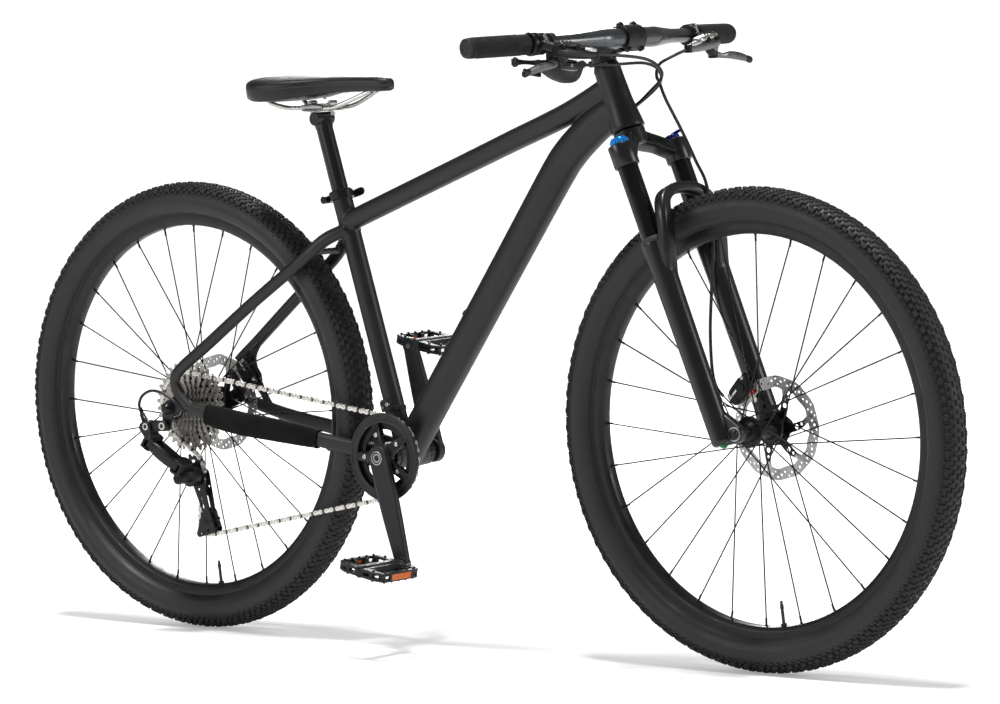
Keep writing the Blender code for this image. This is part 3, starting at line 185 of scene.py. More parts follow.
# ---------------------------------------------------------------- the mesh builder
class Piece:
    """One visible piece, put together from turned, swept and flat shapes."""

    def __init__(self, name):
        self.name = name
        self.bm = bmesh.new()

    def skin(self, rings, closed=False):
        rows = [[self.bm.verts.new(point) for point in ring] for ring in rings]
        pairs = list(zip(rows, rows[1:]))
        if closed:
            pairs.append((rows[-1], rows[0]))
        for low, high in pairs:
            for i in range(len(low)):
                j = (i + 1) % len(low)
                self.bm.faces.new((low[i], low[j], high[j], high[i]))
        if not closed:
            self.bm.faces.new(rows[0])
            self.bm.faces.new(rows[-1])
        return self

    def tube(self, path, sizes, sides=24, across=Y, closed=False, square=2):
        """A swept section: a size is a radius or (half across, half up); square above 2 makes it boxier."""
        count = len(path)
        if not isinstance(sizes, list):
            sizes = [sizes] * count
        rings = []
        for i, point in enumerate(path):
            before = path[(i - 1) % count] if closed else path[max(i - 1, 0)]
            after = path[(i + 1) % count] if closed else path[min(i + 1, count - 1)]
            along = (after - before).normalized()
            side = (across - along * across.dot(along)).normalized()
            up = along.cross(side)
            half = sizes[i] if isinstance(sizes[i], tuple) else (sizes[i], sizes[i])
            ring = []
            for k in range(sides):
                turn = TAU * (k + 0.5) / sides
                c, s = cos(turn), sin(turn)
                ring.append(
                    point + side * (half[0] * copysign(abs(c) ** (2 / square), c))
                    + up * (half[1] * copysign(abs(s) ** (2 / square), s)))
            rings.append(ring)
        return self.skin(rings, closed)

    def curve(self, points, sizes, sides=24, across=Y, steps=6, square=2):
        """A tube along a smooth curve through the points, its size changing smoothly too."""
        pairs = [size if isinstance(size, tuple) else (size, size) for size in sizes]
        wide = smooth_numbers([pair[0] for pair in pairs], steps)
        high = smooth_numbers([pair[1] for pair in pairs], steps)
        return self.tube(smooth_path(points, steps), list(zip(wide, high)), sides, across, square=square)

    def rod(self, start, end, radius, sides=24):
        across = (end - start).normalized().orthogonal().normalized()
        return self.tube([start, end], radius, sides, across)

    def turned(self, profile, centre, axis, sides=48):
        """A solid turned about an axis from an outline of (distance along, radius) points."""
        along = axis.normalized()
        side = along.orthogonal().normalized()
        up = along.cross(side)
        poles = {i: self.bm.verts.new(centre + along * a) for i, (a, r) in enumerate(profile) if r == 0}
        columns = []
        for step in range(sides):
            turn = TAU * step / sides
            out = side * cos(turn) + up * sin(turn)
            columns.append(
                [poles.get(i) or self.bm.verts.new(centre + along * a + out * r)
                 for i, (a, r) in enumerate(profile)])
        for step in range(sides):
            here, there = columns[step], columns[(step + 1) % sides]
            for i in range(len(profile)):
                j = (i + 1) % len(profile)
                corners = []
                for vert in (here[i], here[j], there[j], there[i]):
                    if vert not in corners:
                        corners.append(vert)
                if len(corners) > 2:
                    self.bm.faces.new(corners)
        return self

    def disc(self, centre, axis, low, high, radius, sides=32, edge=0.4):
        """A round block with its rims broken by a small chamfer."""
        return self.turned(
            [(low, 0), (low, radius - edge), (low + edge, radius), (high - edge, radius),
             (high, radius - edge), (high, 0)],
            centre, axis, sides)

    def ring(self, centre, axis, low, high, inner, outer, sides=48, edge=0.4):
        return self.turned(
            [(low, inner), (low, outer - edge), (low + edge, outer), (high - edge, outer),
             (high, outer - edge), (high, inner)],
            centre, axis, sides)

    def block(self, centre, size, along=X, up=Z):
        x = along.normalized() * size[0] / 2
        z = up.normalized() * size[2] / 2
        y = z.cross(x).normalized() * size[1] / 2
        corners = [centre - x - z, centre + x - z, centre + x + z, centre - x + z]
        return self.skin([[c - y for c in corners], [c + y for c in corners]])

    def flat(self, outlines, centre, thickness, normal=Y, right=X, edge=0.2):
        """A plate with holes: the first outline is its edge and the others are holes, as (u, v) points."""
        data = bpy.data.curves.new("flat", "CURVE")
        data.dimensions = "2D"
        data.fill_mode = "BOTH"
        data.extrude = (thickness / 2 - edge) * MM
        data.bevel_depth = edge * MM
        data.bevel_resolution = 0
        data.offset = -edge * MM
        for outline in outlines:
            spline = data.splines.new("POLY")
            spline.points.add(len(outline) - 1)
            for point, (u, v) in zip(spline.points, outline):
                point.co = (u * MM, v * MM, 0, 1)
            spline.use_cyclic_u = True
        holder = bpy.data.objects.new("flat", data)
        bpy.context.scene.collection.objects.link(holder)
        bpy.context.view_layer.update()
        mesh = bpy.data.meshes.new_from_object(holder.evaluated_get(bpy.context.evaluated_depsgraph_get()))
        across = right.normalized()
        out = normal.normalized()
        up = across.cross(out) if normal is Y else out.cross(across)
        turn = Matrix((across, up, across.cross(up))).transposed().to_4x4()
        mesh.transform(Matrix.Translation(centre) @ turn @ Matrix.Scale(1 / MM, 4))
        self.bm.from_mesh(mesh)
        bpy.data.objects.remove(holder)
        bpy.data.curves.remove(data)
        bpy.data.meshes.remove(mesh)
        return self

    def bolt(self, centre, axis, radius=3, height=2.4):
        """A socket-head bolt, its head standing up from centre along axis."""
        deep = height * 0.35
        return self.turned(
            [(0, 0), (0, radius), (height * 0.8, radius), (height, radius * 0.86), (height, radius * 0.52),
             (deep, radius * 0.48), (deep, 0)],
            centre, axis, 24)

    def place(self, body, look, replaces=None, slot=None, bevel=0, angle=35, clean=True):
        """Ends the piece: makes the object, moves it to the frame's origin and rides it on a body."""
        if clean:
            bmesh.ops.recalc_face_normals(self.bm, faces=self.bm.faces)
        mesh = bpy.data.meshes.new(self.name)
        self.bm.to_mesh(mesh)
        self.bm.free()
        mesh.transform(Matrix.Translation(SHIFT) @ Matrix.Scale(MM, 4))
        mesh.shade_smooth()
        mesh.set_sharp_from_angle(angle=radians(angle))
        mesh.materials.append(look)
        obj = bpy.data.objects.new(self.name, mesh)
        bpy.context.scene.collection.objects.link(obj)
        if bevel:
            rounded = obj.modifiers.new("Edges", "BEVEL")
            rounded.width = bevel * MM
            rounded.segments = 2
            rounded.limit_method = "ANGLE"
            rounded.angle_limit = radians(40)
            rounded.harden_normals = True
        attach(obj, body)
        if replaces:
            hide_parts(replaces)
        return obj


def melt(obj, voxel, smoothing):
    """Runs overlapping shapes together into one skin with soft fillets where they meet."""
    remesh = obj.modifiers.new("Skin", "REMESH")
    remesh.mode = "VOXEL"
    remesh.voxel_size = voxel * MM
    remesh.use_smooth_shade = True
    soften = obj.modifiers.new("Fillets", "SMOOTH")
    soften.factor = 0.5
    soften.iterations = smoothing
    bpy.context.view_layer.update()
    mesh = bpy.data.meshes.new_from_object(obj.evaluated_get(bpy.context.evaluated_depsgraph_get()))
    mesh.name = obj.name
    obj.modifiers.clear()
    obj.data = mesh
    return obj


def circle(radius, sides=32, centre=(0, 0)):
    return [
        (centre[0] + radius * cos(TAU * i / sides), centre[1] + radius * sin(TAU * i / sides))
        for i in range(sides)]


def lobed(radius, height, lobes, steps):
    """A round outline with soft lobes."""
    return [polar(radius + height * cos(lobes * TAU * i / steps), TAU * i / steps) for i in range(steps)]


def notched(high, low, steps, width):
    """A round outline that steps between two radii, each step a few points wide."""
    return [polar(high if (i // width) % 2 else low, TAU * i / steps) for i in range(steps)]


def slot_hole(inner, outer, start, end, steps=8):
    """A hole bounded by two arcs, from one angle to another."""
    turns = [start + (end - start) * i / steps for i in range(steps + 1)]
    return ([polar(outer, t) for t in turns] + [polar(inner, t) for t in reversed(turns)])


def band(circles, steps=16):
    """The outline of a strap pulled tight round circles of (u, v, radius)."""
    points = sorted(
        {(round(u + r * cos(TAU * i / (2 * steps)), 4), round(v + r * sin(TAU * i / (2 * steps)), 4))
         for u, v, r in circles for i in range(2 * steps)})

    def half(ordered):
        chain = []
        for p in ordered:
            while len(chain) > 1:
                a, b = chain[-2], chain[-1]
                if (b[0] - a[0]) * (p[1] - a[1]) - (b[1] - a[1]) * (p[0] - a[0]) > 1e-6:
                    break
                chain.pop()
            chain.append(p)
        return chain[:-1]

    return half(points) + half(points[::-1])


# ---------------------------------------------------------------- materials
def add_node(made, kind, inputs, **settings):
    """Adds a shader node; an input is a value, or another node's output to wire in."""
    node = made.node_tree.nodes.new("ShaderNode" + kind)
    for name, value in settings.items():
        setattr(node, name, value)
    for name, value in inputs.items():
        if isinstance(value, bpy.types.NodeSocket):
            made.node_tree.links.new(value, node.inputs[name])
        else:
            node.inputs[name].default_value = value
    return node


def surface(
    name, colour, rough=0.5, metal=0.0, vary=0.15, rough_vary=0.12, patch=30.0, grain=900.0, bump=0.02,
    coat=0.0, stretch=(1, 1, 1), specular=0.5, wear=0.0, wear_colour=(0.35, 0.35, 0.35)):
    """A finish with patchy colour and roughness, fine grain and, if asked, wear along its edges."""
    made = bpy.data.materials.new(name)
    made.use_nodes = True
    shader = made.node_tree.nodes["Principled BSDF"]
    place = add_node(made, "TexCoord", {}).outputs["Object"]
    where = add_node(made, "Mapping", {"Vector": place, "Scale": stretch}).outputs["Vector"]
    broad = add_node(made, "TexNoise", {"Vector": where, "Scale": patch, "Detail": 5}).outputs["Fac"]
    dark = [c * (1 - vary) for c in colour] + [1]
    light = [min(c * (1 + vary), 1) for c in colour] + [1]
    tint = add_node(made, "Mix", {}, data_type="RGBA")
    tint.inputs["A"].default_value, tint.inputs["B"].default_value = dark, light
    made.node_tree.links.new(broad, tint.inputs["Factor"])
    base = tint.outputs["Result"]
    spread = add_node(
        made, "MapRange",
        {"Value": broad, "From Min": 0.3, "From Max": 0.7, "To Min": max(rough - rough_vary, 0.03),
         "To Max": min(rough + rough_vary, 1)})
    fine = add_node(made, "TexNoise", {"Vector": where, "Scale": grain, "Detail": 3}).outputs["Fac"]
    relief = add_node(made, "Bump", {"Height": fine, "Strength": 1.0, "Distance": bump * MM})
    if wear:
        edges = add_node(made, "Bevel", {"Radius": EDGE_WEAR_WIDTH}, samples=4).outputs["Normal"]
        face = add_node(made, "NewGeometry", {}).outputs["Normal"]
        angle = add_node(made, "VectorMath", {0: edges, 1: face}, operation="DOT_PRODUCT").outputs["Value"]
        worn = add_node(
            made, "MapRange", {"Value": angle, "From Min": 0.99, "From Max": 0.80, "To Max": wear})
        rub = add_node(made, "Mix", {}, data_type="RGBA")
        rub.inputs["B"].default_value = list(wear_colour) + [1]
        made.node_tree.links.new(worn.outputs["Result"], rub.inputs["Factor"])
        made.node_tree.links.new(base, rub.inputs["A"])
        base = rub.outputs["Result"]
    for target, source in (
        ("Roughness", spread.outputs["Result"]), ("Normal", relief.outputs["Normal"]),
        ("Base Color", base)):
        made.node_tree.links.new(source, shader.inputs[target])
    for target, value in (
        ("Metallic", metal), ("Coat Weight", coat), ("Coat Roughness", 0.08),
        ("Specular IOR Level", specular)):
        shader.inputs[target].default_value = value
    return made


def pressed(made, height, depth, under=None):
    """Presses a pattern into a finish, over the relief it already has if that is given."""
    inputs = {"Height": height, "Distance": depth}
    if under:
        inputs["Normal"] = under
    relief = add_node(made, "Bump", inputs)
    made.node_tree.links.new(
        relief.outputs["Normal"], made.node_tree.nodes["Principled BSDF"].inputs["Normal"])
    return made


def grained(name, colour, rough, cell, depth):
    """Leatherette or moulded grain: small cells pressed into a dark skin."""
    made = surface(name, colour, rough, vary=0.2, grain=1500, bump=0.01)
    nodes = made.node_tree.nodes
    cells = add_node(
        made, "TexVoronoi", {"Vector": nodes["Mapping"].outputs["Vector"], "Scale": 1 / cell},
        feature="DISTANCE_TO_EDGE")
    limit = add_node(made, "MapRange", {"Value": cells.outputs["Distance"], "From Max": 0.25})
    return pressed(made, limit.outputs["Result"], depth, nodes["Bump"].outputs["Normal"])


def woven(name, colour, pitch, depth):
    """A knitted or woven cover: two crossed sets of threads."""
    made = surface(name, colour, 0.85, vary=0.2, grain=2500, bump=0.02, specular=0.25)
    where = made.node_tree.nodes["Mapping"].outputs["Vector"]
    across, along = [
        add_node(
            made, "TexWave", {"Vector": where, "Scale": WAVE_SCALE / pitch, "Distortion": 0.4},
            wave_type="BANDS", bands_direction=direction).outputs["Fac"]
        for direction in ("X", "Z")]
    both = add_node(made, "Math", {0: across, 1: along}, operation="MULTIPLY")
    return pressed(made, both.outputs["Value"], depth)


def reflector_plastic():
    """Clear orange plastic moulded as a field of small prisms, with a faint painted glow: it emits orange
    light though it is no lamp.
    """
    made = grained("reflector_orange", (0.85, 0.17, 0.01), 0.15, 0.0016, 0.0006)
    shader = made.node_tree.nodes["Principled BSDF"]
    # Painted glow: a small orange emission on the reflector plastic.
    shader.inputs["Emission Color"].default_value = (1.0, 0.22, 0.02, 1)
    shader.inputs["Emission Strength"].default_value = 0.12
    return made


PAINT = surface(
    "frame_paint", (0.0061, 0.0059, 0.0057), 0.44, vary=0.08, rough_vary=0.05, patch=14, grain=2200,
    bump=0.012, coat=0.04)
GLOSS = surface(
    "fork_gloss", (0.0050, 0.0050, 0.0055), 0.33, vary=0.1, rough_vary=0.05, patch=12, grain=900,
    bump=0.004, coat=0.15)
BAR_BLACK = surface(
    "bar_anodised", (0.13, 0.135, 0.14), 0.26, 0.85, vary=0.08, rough_vary=0.04, patch=20, grain=2000,
    bump=0.005)
LEVER_GREY = surface(
    "lever_polished", (0.16, 0.165, 0.17), 0.30, 0.85, vary=0.2, rough_vary=0.08, patch=120, grain=1500,
    bump=0.008, wear=0.4, wear_colour=(0.5, 0.5, 0.5))
SATIN = surface(
    "satin_black_alloy", (0.0095, 0.0098, 0.0105), 0.34, 0.35, patch=60, grain=1800, bump=0.010, wear=0.35,
    wear_colour=(0.11, 0.11, 0.115))
CRANK_GREY = surface(
    "crank_anodised", (0.017, 0.018, 0.020), 0.42, 0.3, vary=0.1, patch=30, grain=2000, bump=0.012,
    wear=0.5, wear_colour=(0.12, 0.12, 0.13))
BLACK_STEEL = surface(
    "black_steel", (0.012, 0.012, 0.013), 0.34, 0.6, patch=90, grain=1500, bump=0.010, wear=0.3,
    wear_colour=(0.16, 0.16, 0.165))
STANCHION = surface(
    "stanchion_black", (0.006, 0.006, 0.0065), 0.16, 0.3, patch=60, grain=1500, bump=0.002,
    stretch=(1, 1, 0.1))
PLASTIC = surface(
    "moulded_plastic", (0.0085, 0.0085, 0.009), 0.50, patch=80, grain=1400, bump=0.03, wear=0.2,
    wear_colour=(0.07, 0.07, 0.07))
RUBBER = surface(
    "tyre_rubber", (0.0165, 0.0165, 0.0170), 0.66, vary=0.3, rough_vary=0.1, patch=26, grain=900, bump=0.05,
    specular=0.4)
SIDEWALL = surface(
    "tyre_sidewall", (0.019, 0.0195, 0.021), 0.52, vary=0.25, rough_vary=0.08, patch=18, grain=1600,
    bump=0.03, specular=0.4)
GRIP = surface(
    "grip_rubber", (0.0085, 0.0085, 0.0085), 0.70, vary=0.2, patch=70, grain=1200, bump=0.05, specular=0.35)
RIM = surface("rim_black", (0.0065, 0.0065, 0.0070), 0.40, 0.2, patch=40, grain=2000, bump=0.012)
SPOKE = surface("black_wire", (0.010, 0.010, 0.011), 0.32, 0.5, patch=90, grain=2000, bump=0.004)
STEEL = surface("bright_steel", (0.62, 0.61, 0.58), 0.26, 0.9, vary=0.12, patch=90, grain=2000, bump=0.012)
BRUSHED = surface(
    "rotor_steel", (0.46, 0.46, 0.45), 0.30, 0.85, vary=0.20, patch=120, grain=1600, bump=0.02)
COG = surface(
    "sprocket_steel", (0.40, 0.38, 0.35), 0.32, 0.78, vary=0.25, patch=130, grain=1500, bump=0.014,
    wear=0.5, wear_colour=(0.75, 0.73, 0.70))
DARK_LINK = surface(
    "chain_inner_plate", (0.10, 0.095, 0.085), 0.34, 0.85, vary=0.2, patch=200, grain=1500, bump=0.01)
NICKEL = surface(
    "chain_nickel", (0.86, 0.83, 0.77), 0.28, 0.45, vary=0.12, patch=200, grain=1500, bump=0.01)
ALLOY = surface("grey_alloy", (0.42, 0.43, 0.44), 0.30, 0.75, patch=80, grain=1600, bump=0.012)
BLUE = surface("blue_anodised", (0.01, 0.27, 0.85), 0.26, 0.45, vary=0.15, patch=90, grain=1800, bump=0.006)
DEEP_BLUE = surface("deep_blue_anodised", (0.012, 0.025, 0.26), 0.30, 0.5, patch=90, grain=1800, bump=0.006)
SEAL = surface("seal_rubber", (0.030, 0.030, 0.031), 0.60, patch=90, grain=1200, bump=0.02)
HOSE = surface("hose_black", (0.008, 0.008, 0.0085), 0.38, patch=60, grain=900, bump=0.01)
ORANGE = surface("pad_spacer_orange", (0.75, 0.07, 0.010), 0.45, patch=90, grain=1200, bump=0.01)
DARK_GREEN = surface("rebound_green", (0.02, 0.25, 0.10), 0.35, 0.4, patch=90, grain=1500, bump=0.008)
COVER = grained("saddle_leatherette", (0.0042, 0.0042, 0.0045), 0.40, 0.0011, 0.00006)
NEOPRENE = woven("neoprene_wrap", (0.0022, 0.0026, 0.0030), 0.0012, 0.00012)
REFLECTOR = reflector_plastic()


# ---------------------------------------------------------------- frame
def frame_tubes():
    """The welded frame, its tubes run together with soft fillets at the joints."""
    shape = Piece("frame_tubes")
    shape.turned(
        [(512.2, 0), (512.2, 27.2), (523, 26.2), (540, 24.2), (557, 22.5), (590, 21.4), (611.8, 21.2),
         (611.8, 0)],
        STEER_FOOT, STEER_UP, 64)
    shape.curve(
        [BB, BB.lerp(DOWN_BEND, 0.4), BB.lerp(DOWN_BEND, 0.8), DOWN_BEND,
         *xyz((329, 0, 755.5), (351, 0, 782.5), (380, 0, 809), (418, 0, 837), (458, 0, 860))],
        [(26.8, 25), (25.4, 25.4), (25.2, 26.4), (25.6, 27), (25.6, 27.4), (25.4, 27.6), (24.4, 27.6),
         (22.8, 27), (20.5, 26.2)],
        40, square=2.15)
    shape.curve(
        [seat_point(386), *xyz((100, 0, 754.5), (240, 0, 807), (360, 0, 852)), steer_point(585)],
        [(16.5, 16.5), (18, 16.5), (18.5, 17), (19, 17.8), (17.2, 18.5)], 36, square=2.2)
    shape.tube([BB, seat_point(438)], 16.2, 40)
    shape.rod(BB - 36.5 * Y, BB + 36.5 * Y, 21.8, 48)
    for side in (-1, 1):
        rear_triangle(shape, side)
    shape.rod(Vector((-160, -38, 629)), Vector((-160, 38, 629)), 5.5, 20)
    shape.rod(Vector((-52, -34, 314)), Vector((-52, 34, 314)), 7.5, 20)
    made = shape.place("frame", PAINT, replaces="frame", slot="frame_paint")
    melt(made, 1.6, 7)


def rear_triangle(shape, side):
    chain_path = xyz(
        (-4, 24, 306), (-30, 30, 310), (-88, 41.5, 319), (-170, 50, 332.5), (-300, 64, 350),
        (-405, 71.5, 372), side=side)
    shape.curve(
        chain_path, [(7.8, 13.5), (7.4, 13.2), (7, 13), (7.4, 12.5), (7.4, 11.5), (5.2, 10.5)], 24,
        square=3)
    seat_path = [
        seat_point(373.5, 2, side * 10),
        *xyz(
            (-136, 27.5, 649), (-181, 42, 612), (-278, 54, 544), (-374, 64.5, 473), (-424, 70, 437),
            (-438.5, 71.6, 415), (-426, 71.8, 390), (-405, 71.6, 373), side=side)]
    shape.curve(
        seat_path,
        [11, (9.4, 11.2), (8.6, 10.7), (8.1, 10.3), (8, 10.1), (8.2, 9.6), (5.6, 10), (5.2, 11), (5, 10.5)],
        24)
    middle = Vector((REAR_AXLE.x, side * 71.3, REAR_AXLE.z))
    shape.flat([band([(0, 0, 14.8), (30, 14, 11.8)])], middle, 7.2)
    if side > 0:
        shape.curve(
            xyz((-372, 64, 472), (-385, 63, 442), (-372, 66, 395), (-352, 68, 360)),
            [(4, 7.5), (3.8, 7), (3.8, 7), (4, 8)], 16)


def frame_fittings():
    """Bottle bosses with their bolts, cable ports, the front-derailleur mount and the chainstay wrap."""
    along = (DOWN_BEND - BB).normalized()
    out = Vector((-along.z, 0, along.x))
    bosses = Piece("bottle_bosses")
    bolts = Piece("bottle_boss_bolts")
    for reach in (200, 264):
        foot = BB + along * reach
        bosses.turned(
            [(20, 0), (20, 8.5), (26.2, 7.8), (27.2, 6.6), (29.5, 6.4), (29.5, 3.4), (27, 3), (27, 0)],
            foot, out, 32)
        bolts.bolt(foot + out * 26.8, out, 3, 2.4)
    bosses.place("frame", PAINT, slot="frame_paint")
    bolts.place("frame", STEEL)

    ports = Piece("cable_port_grommets")
    for centre in (Vector((418, 27, 839)), Vector((405, 28.5, 823.5))):
        ports.disc(centre, Vector((0.55, 1, 0.3)), -5, 2.2, 6.2, 24, 1)
    ports.place("frame", SEAL)

    mount = Piece("front_derailleur_mount")
    base = seat_point(82, -2, -17)
    mount.block(base, (20, 8, 17), SEAT_FORWARD, SEAT_UP)
    mount.block(base + Vector((3, -6, 8)), (13, 10, 6), SEAT_FORWARD, SEAT_UP)
    mount.ring(seat_point(74), SEAT_UP, -3.5, 3.5, 16, 17.6, 40)
    mount.place("frame", PLASTIC, bevel=1)
    screw = Piece("front_derailleur_mount_screw")
    screw.bolt(base + Vector((6, -4, 3)), -Y, 3.6, 3)
    screw.bolt(base + Vector((-4, -4, -3)), -Y, 2.4, 2)
    screw.place("frame", STEEL)

    wrap = Piece("chainstay_wrap")
    path = xyz(
        (-148, -48, 329), (-170, -50.2, 332.5), (-235, -57.2, 341.5), (-300, -64, 350), (-350, -67.8, 359),
        (-368, -69, 363))
    wrap.curve(
        path, [(9.2, 15.2), (10, 16.8), (10.4, 18.6), (10.4, 19.2), (9.8, 18.4), (9, 16)], 32, square=3)
    wrap.place("frame", NEOPRENE, bevel=0)
    hems = Piece("chainstay_wrap_hems")
    for middle, ahead, size in ((path[0], path[1], (9.6, 15.6)), (path[-1], path[-2], (9.4, 16.4))):
        step = (ahead - middle).normalized() * 3
        hems.tube([middle - step, middle + step], size, 32, square=3.2)
    hems.place("frame", NEOPRENE, bevel=1)


def headset():
    Piece("headset_lower_cup").turned(
        [(510.4, 14.8), (510.4, 25), (511, 26.4), (512.2, 27.2), (514, 27.2), (514, 14.8)], STEER_FOOT,
        STEER_UP, 64).place("frame", SATIN, replaces="headset_lower", slot="black_anodised")
    Piece("headset_upper_cup").turned(
        [(610, 14.8), (610, 21.6), (613.5, 21.6), (615, 20.5), (617.5, 19.6), (619.5, 18.8), (620, 14.8)],
        STEER_FOOT, STEER_UP, 64).place("frame", SATIN, replaces="headset_upper", slot="black_anodised")


def bottom_bracket():
    cups = Piece("bottom_bracket_cups")
    for side in (-1, 1):
        low, high = (36.8, 46.2) if side > 0 else (-46.2, -36.8)
        middle = BB + Y * ((low + high) / 2)
        cups.flat([notched(20.6, 21.2, 96, 3), circle(12.6, 40)], middle, high - low, edge=0.4)
    cups.place("frame", SATIN, replaces="bottom_bracket", slot="black_anodised")


def seat_clamp():
    middle = 431
    collar = Piece("seat_clamp_collar")
    collar.ring(seat_point(middle), SEAT_UP, -6.5, 6.5, 16.4, 19.8, 64, 0.8)
    collar.ring(seat_point(middle), SEAT_UP, 6.5, 8, 14, 19, 64, 0.6)
    for side in (-1, 1):
        collar.tube(
            seat_points((middle, -16, 5), (middle, -24, 5.6), (middle, -30, 5), side=side),
            [(3.4, 6), (3.4, 6), (2.6, 5)], 20, square=3.5)
    collar.rod(seat_point(middle, -25.5, -15), seat_point(middle, -25.5, 15), 3, 20)
    collar.disc(seat_point(middle, -25.5), Y, -18, -12, 6.2, 24, 0.8)
    collar.place("frame", SATIN, replaces="seat_clamp", slot="black_anodised", bevel=0.6)
    lever = Piece("seat_clamp_cam_lever")
    lever.curve(
        seat_points(
            (middle, -29, 20.5), (middle, -18, 25), (middle, -2, 27.5), (middle, 12, 27.2),
            (middle, 23, 25.5), (middle, 27.5, 24.2)),
        [(5.6, 5.2), (5.4, 3.6), (5.8, 2.8), (6.6, 2.6), (6.2, 2.3), (3.6, 1.8)], 24, SEAT_UP)
    pivot = seat_point(middle, -26, 21.5)
    lever.disc(pivot, SEAT_UP, -6.2, 6.2, 6.2, 28, 0.6)
    lever.place("seat_clamp_lever", SATIN, replaces="seat_clamp_lever", slot="black_anodised")
    Piece("seat_clamp_cam_pin").disc(pivot, SEAT_UP, -6.6, 6.6, 2.6, 20).place("seat_clamp_lever", STEEL)


def rear_axle():
    axle = Piece("rear_axle_nuts")
    axle.rod(REAR_AXLE - 79 * Y, REAR_AXLE + 79 * Y, 4.4, 20)
    axle.turned([(78.5, 0), (78.5, 8.6), (80, 9.4), (83.5, 8.8), (86.2, 6.6), (86.6, 0)], REAR_AXLE, Y, 32)
    axle.turned([(78.5, 0), (78.5, 9.2), (80.5, 9.6), (85, 8.4), (88, 5.6), (88.5, 0)], REAR_AXLE, -Y, 32)
    axle.place("frame", SATIN, replaces="rear_axle", slot="black_steel")


# ---------------------------------------------------------------- seat
def seatpost():
    Piece("seatpost_tube").turned(
        [(300, 0), (300, 13.6), (545, 13.6), (552, 13), (558, 11.2), (558, 0)], BB, SEAT_UP,
        48).place("seatpost", GLOSS, replaces="seatpost", slot="gloss_black")
    head = Piece("seatpost_head")
    centre = seat_point(560)
    head.disc(centre, Y, -20, 20, 10.8, 40, 1)
    head.tube([seat_point(544), seat_point(558)], [(13.4, 13.4), (19, 10.4)], 40, square=2.4)
    head.place("seatpost", GLOSS, slot="gloss_black")


def saddle_sections():
    """(x, half width, skirt height, edge height, crown) from the tail to the nose."""
    return [
        (-286, 24, 891, 899, 903.5), (-280, 42, 883, 897, 907.5), (-268, 58, 877, 895, 911),
        (-245, 70, 873.5, 893, 913), (-215, 70.5, 873.5, 893.5, 912.8), (-185, 61, 876.5, 895, 912.2),
        (-155, 46, 881, 897, 912), (-125, 33, 885, 898.5, 912), (-90, 24, 887, 899, 912),
        (-55, 20.5, 888, 899, 911.8), (-27, 17.5, 888, 898, 910.5), (-13, 13, 889, 897, 908),
        (-7, 7, 892, 897.5, 904)]


def saddle_cover():
    """The padded cover: a crowned top that rolls over into a skirt round the shell."""
    rows = saddle_sections()
    columns = [smooth_numbers([row[k] for row in rows], 4) for k in range(5)]
    rings = []
    for x, half, skirt, edge, crown in zip(*columns):
        ring = []
        top = 28
        for i in range(top + 1):
            turn = pi * i / top
            c, s = cos(turn), sin(turn)
            dip = 1.2 * exp(-(c * half / 10) ** 2) if -270 < x < -40 else 0
            ring.append(
                Vector((x, half * copysign(abs(c) ** 0.8, c), edge + (crown - edge) * s ** 0.62 - dip)))
        for y, z in (
            (-0.985, 0.45), (-0.955, 0.08), (-0.9, 0), (-0.45, 0.12), (0, 0.16), (0.45, 0.12), (0.9, 0),
            (0.955, 0.08), (0.985, 0.45)):
            ring.append(Vector((x, half * y, skirt + (edge - skirt) * z)))
        rings.append(ring)
    Piece("saddle_padded_cover").skin(rings).place(
        "saddle", COVER, replaces="saddle_cover", slot="saddle_cover", angle=70)
    return columns


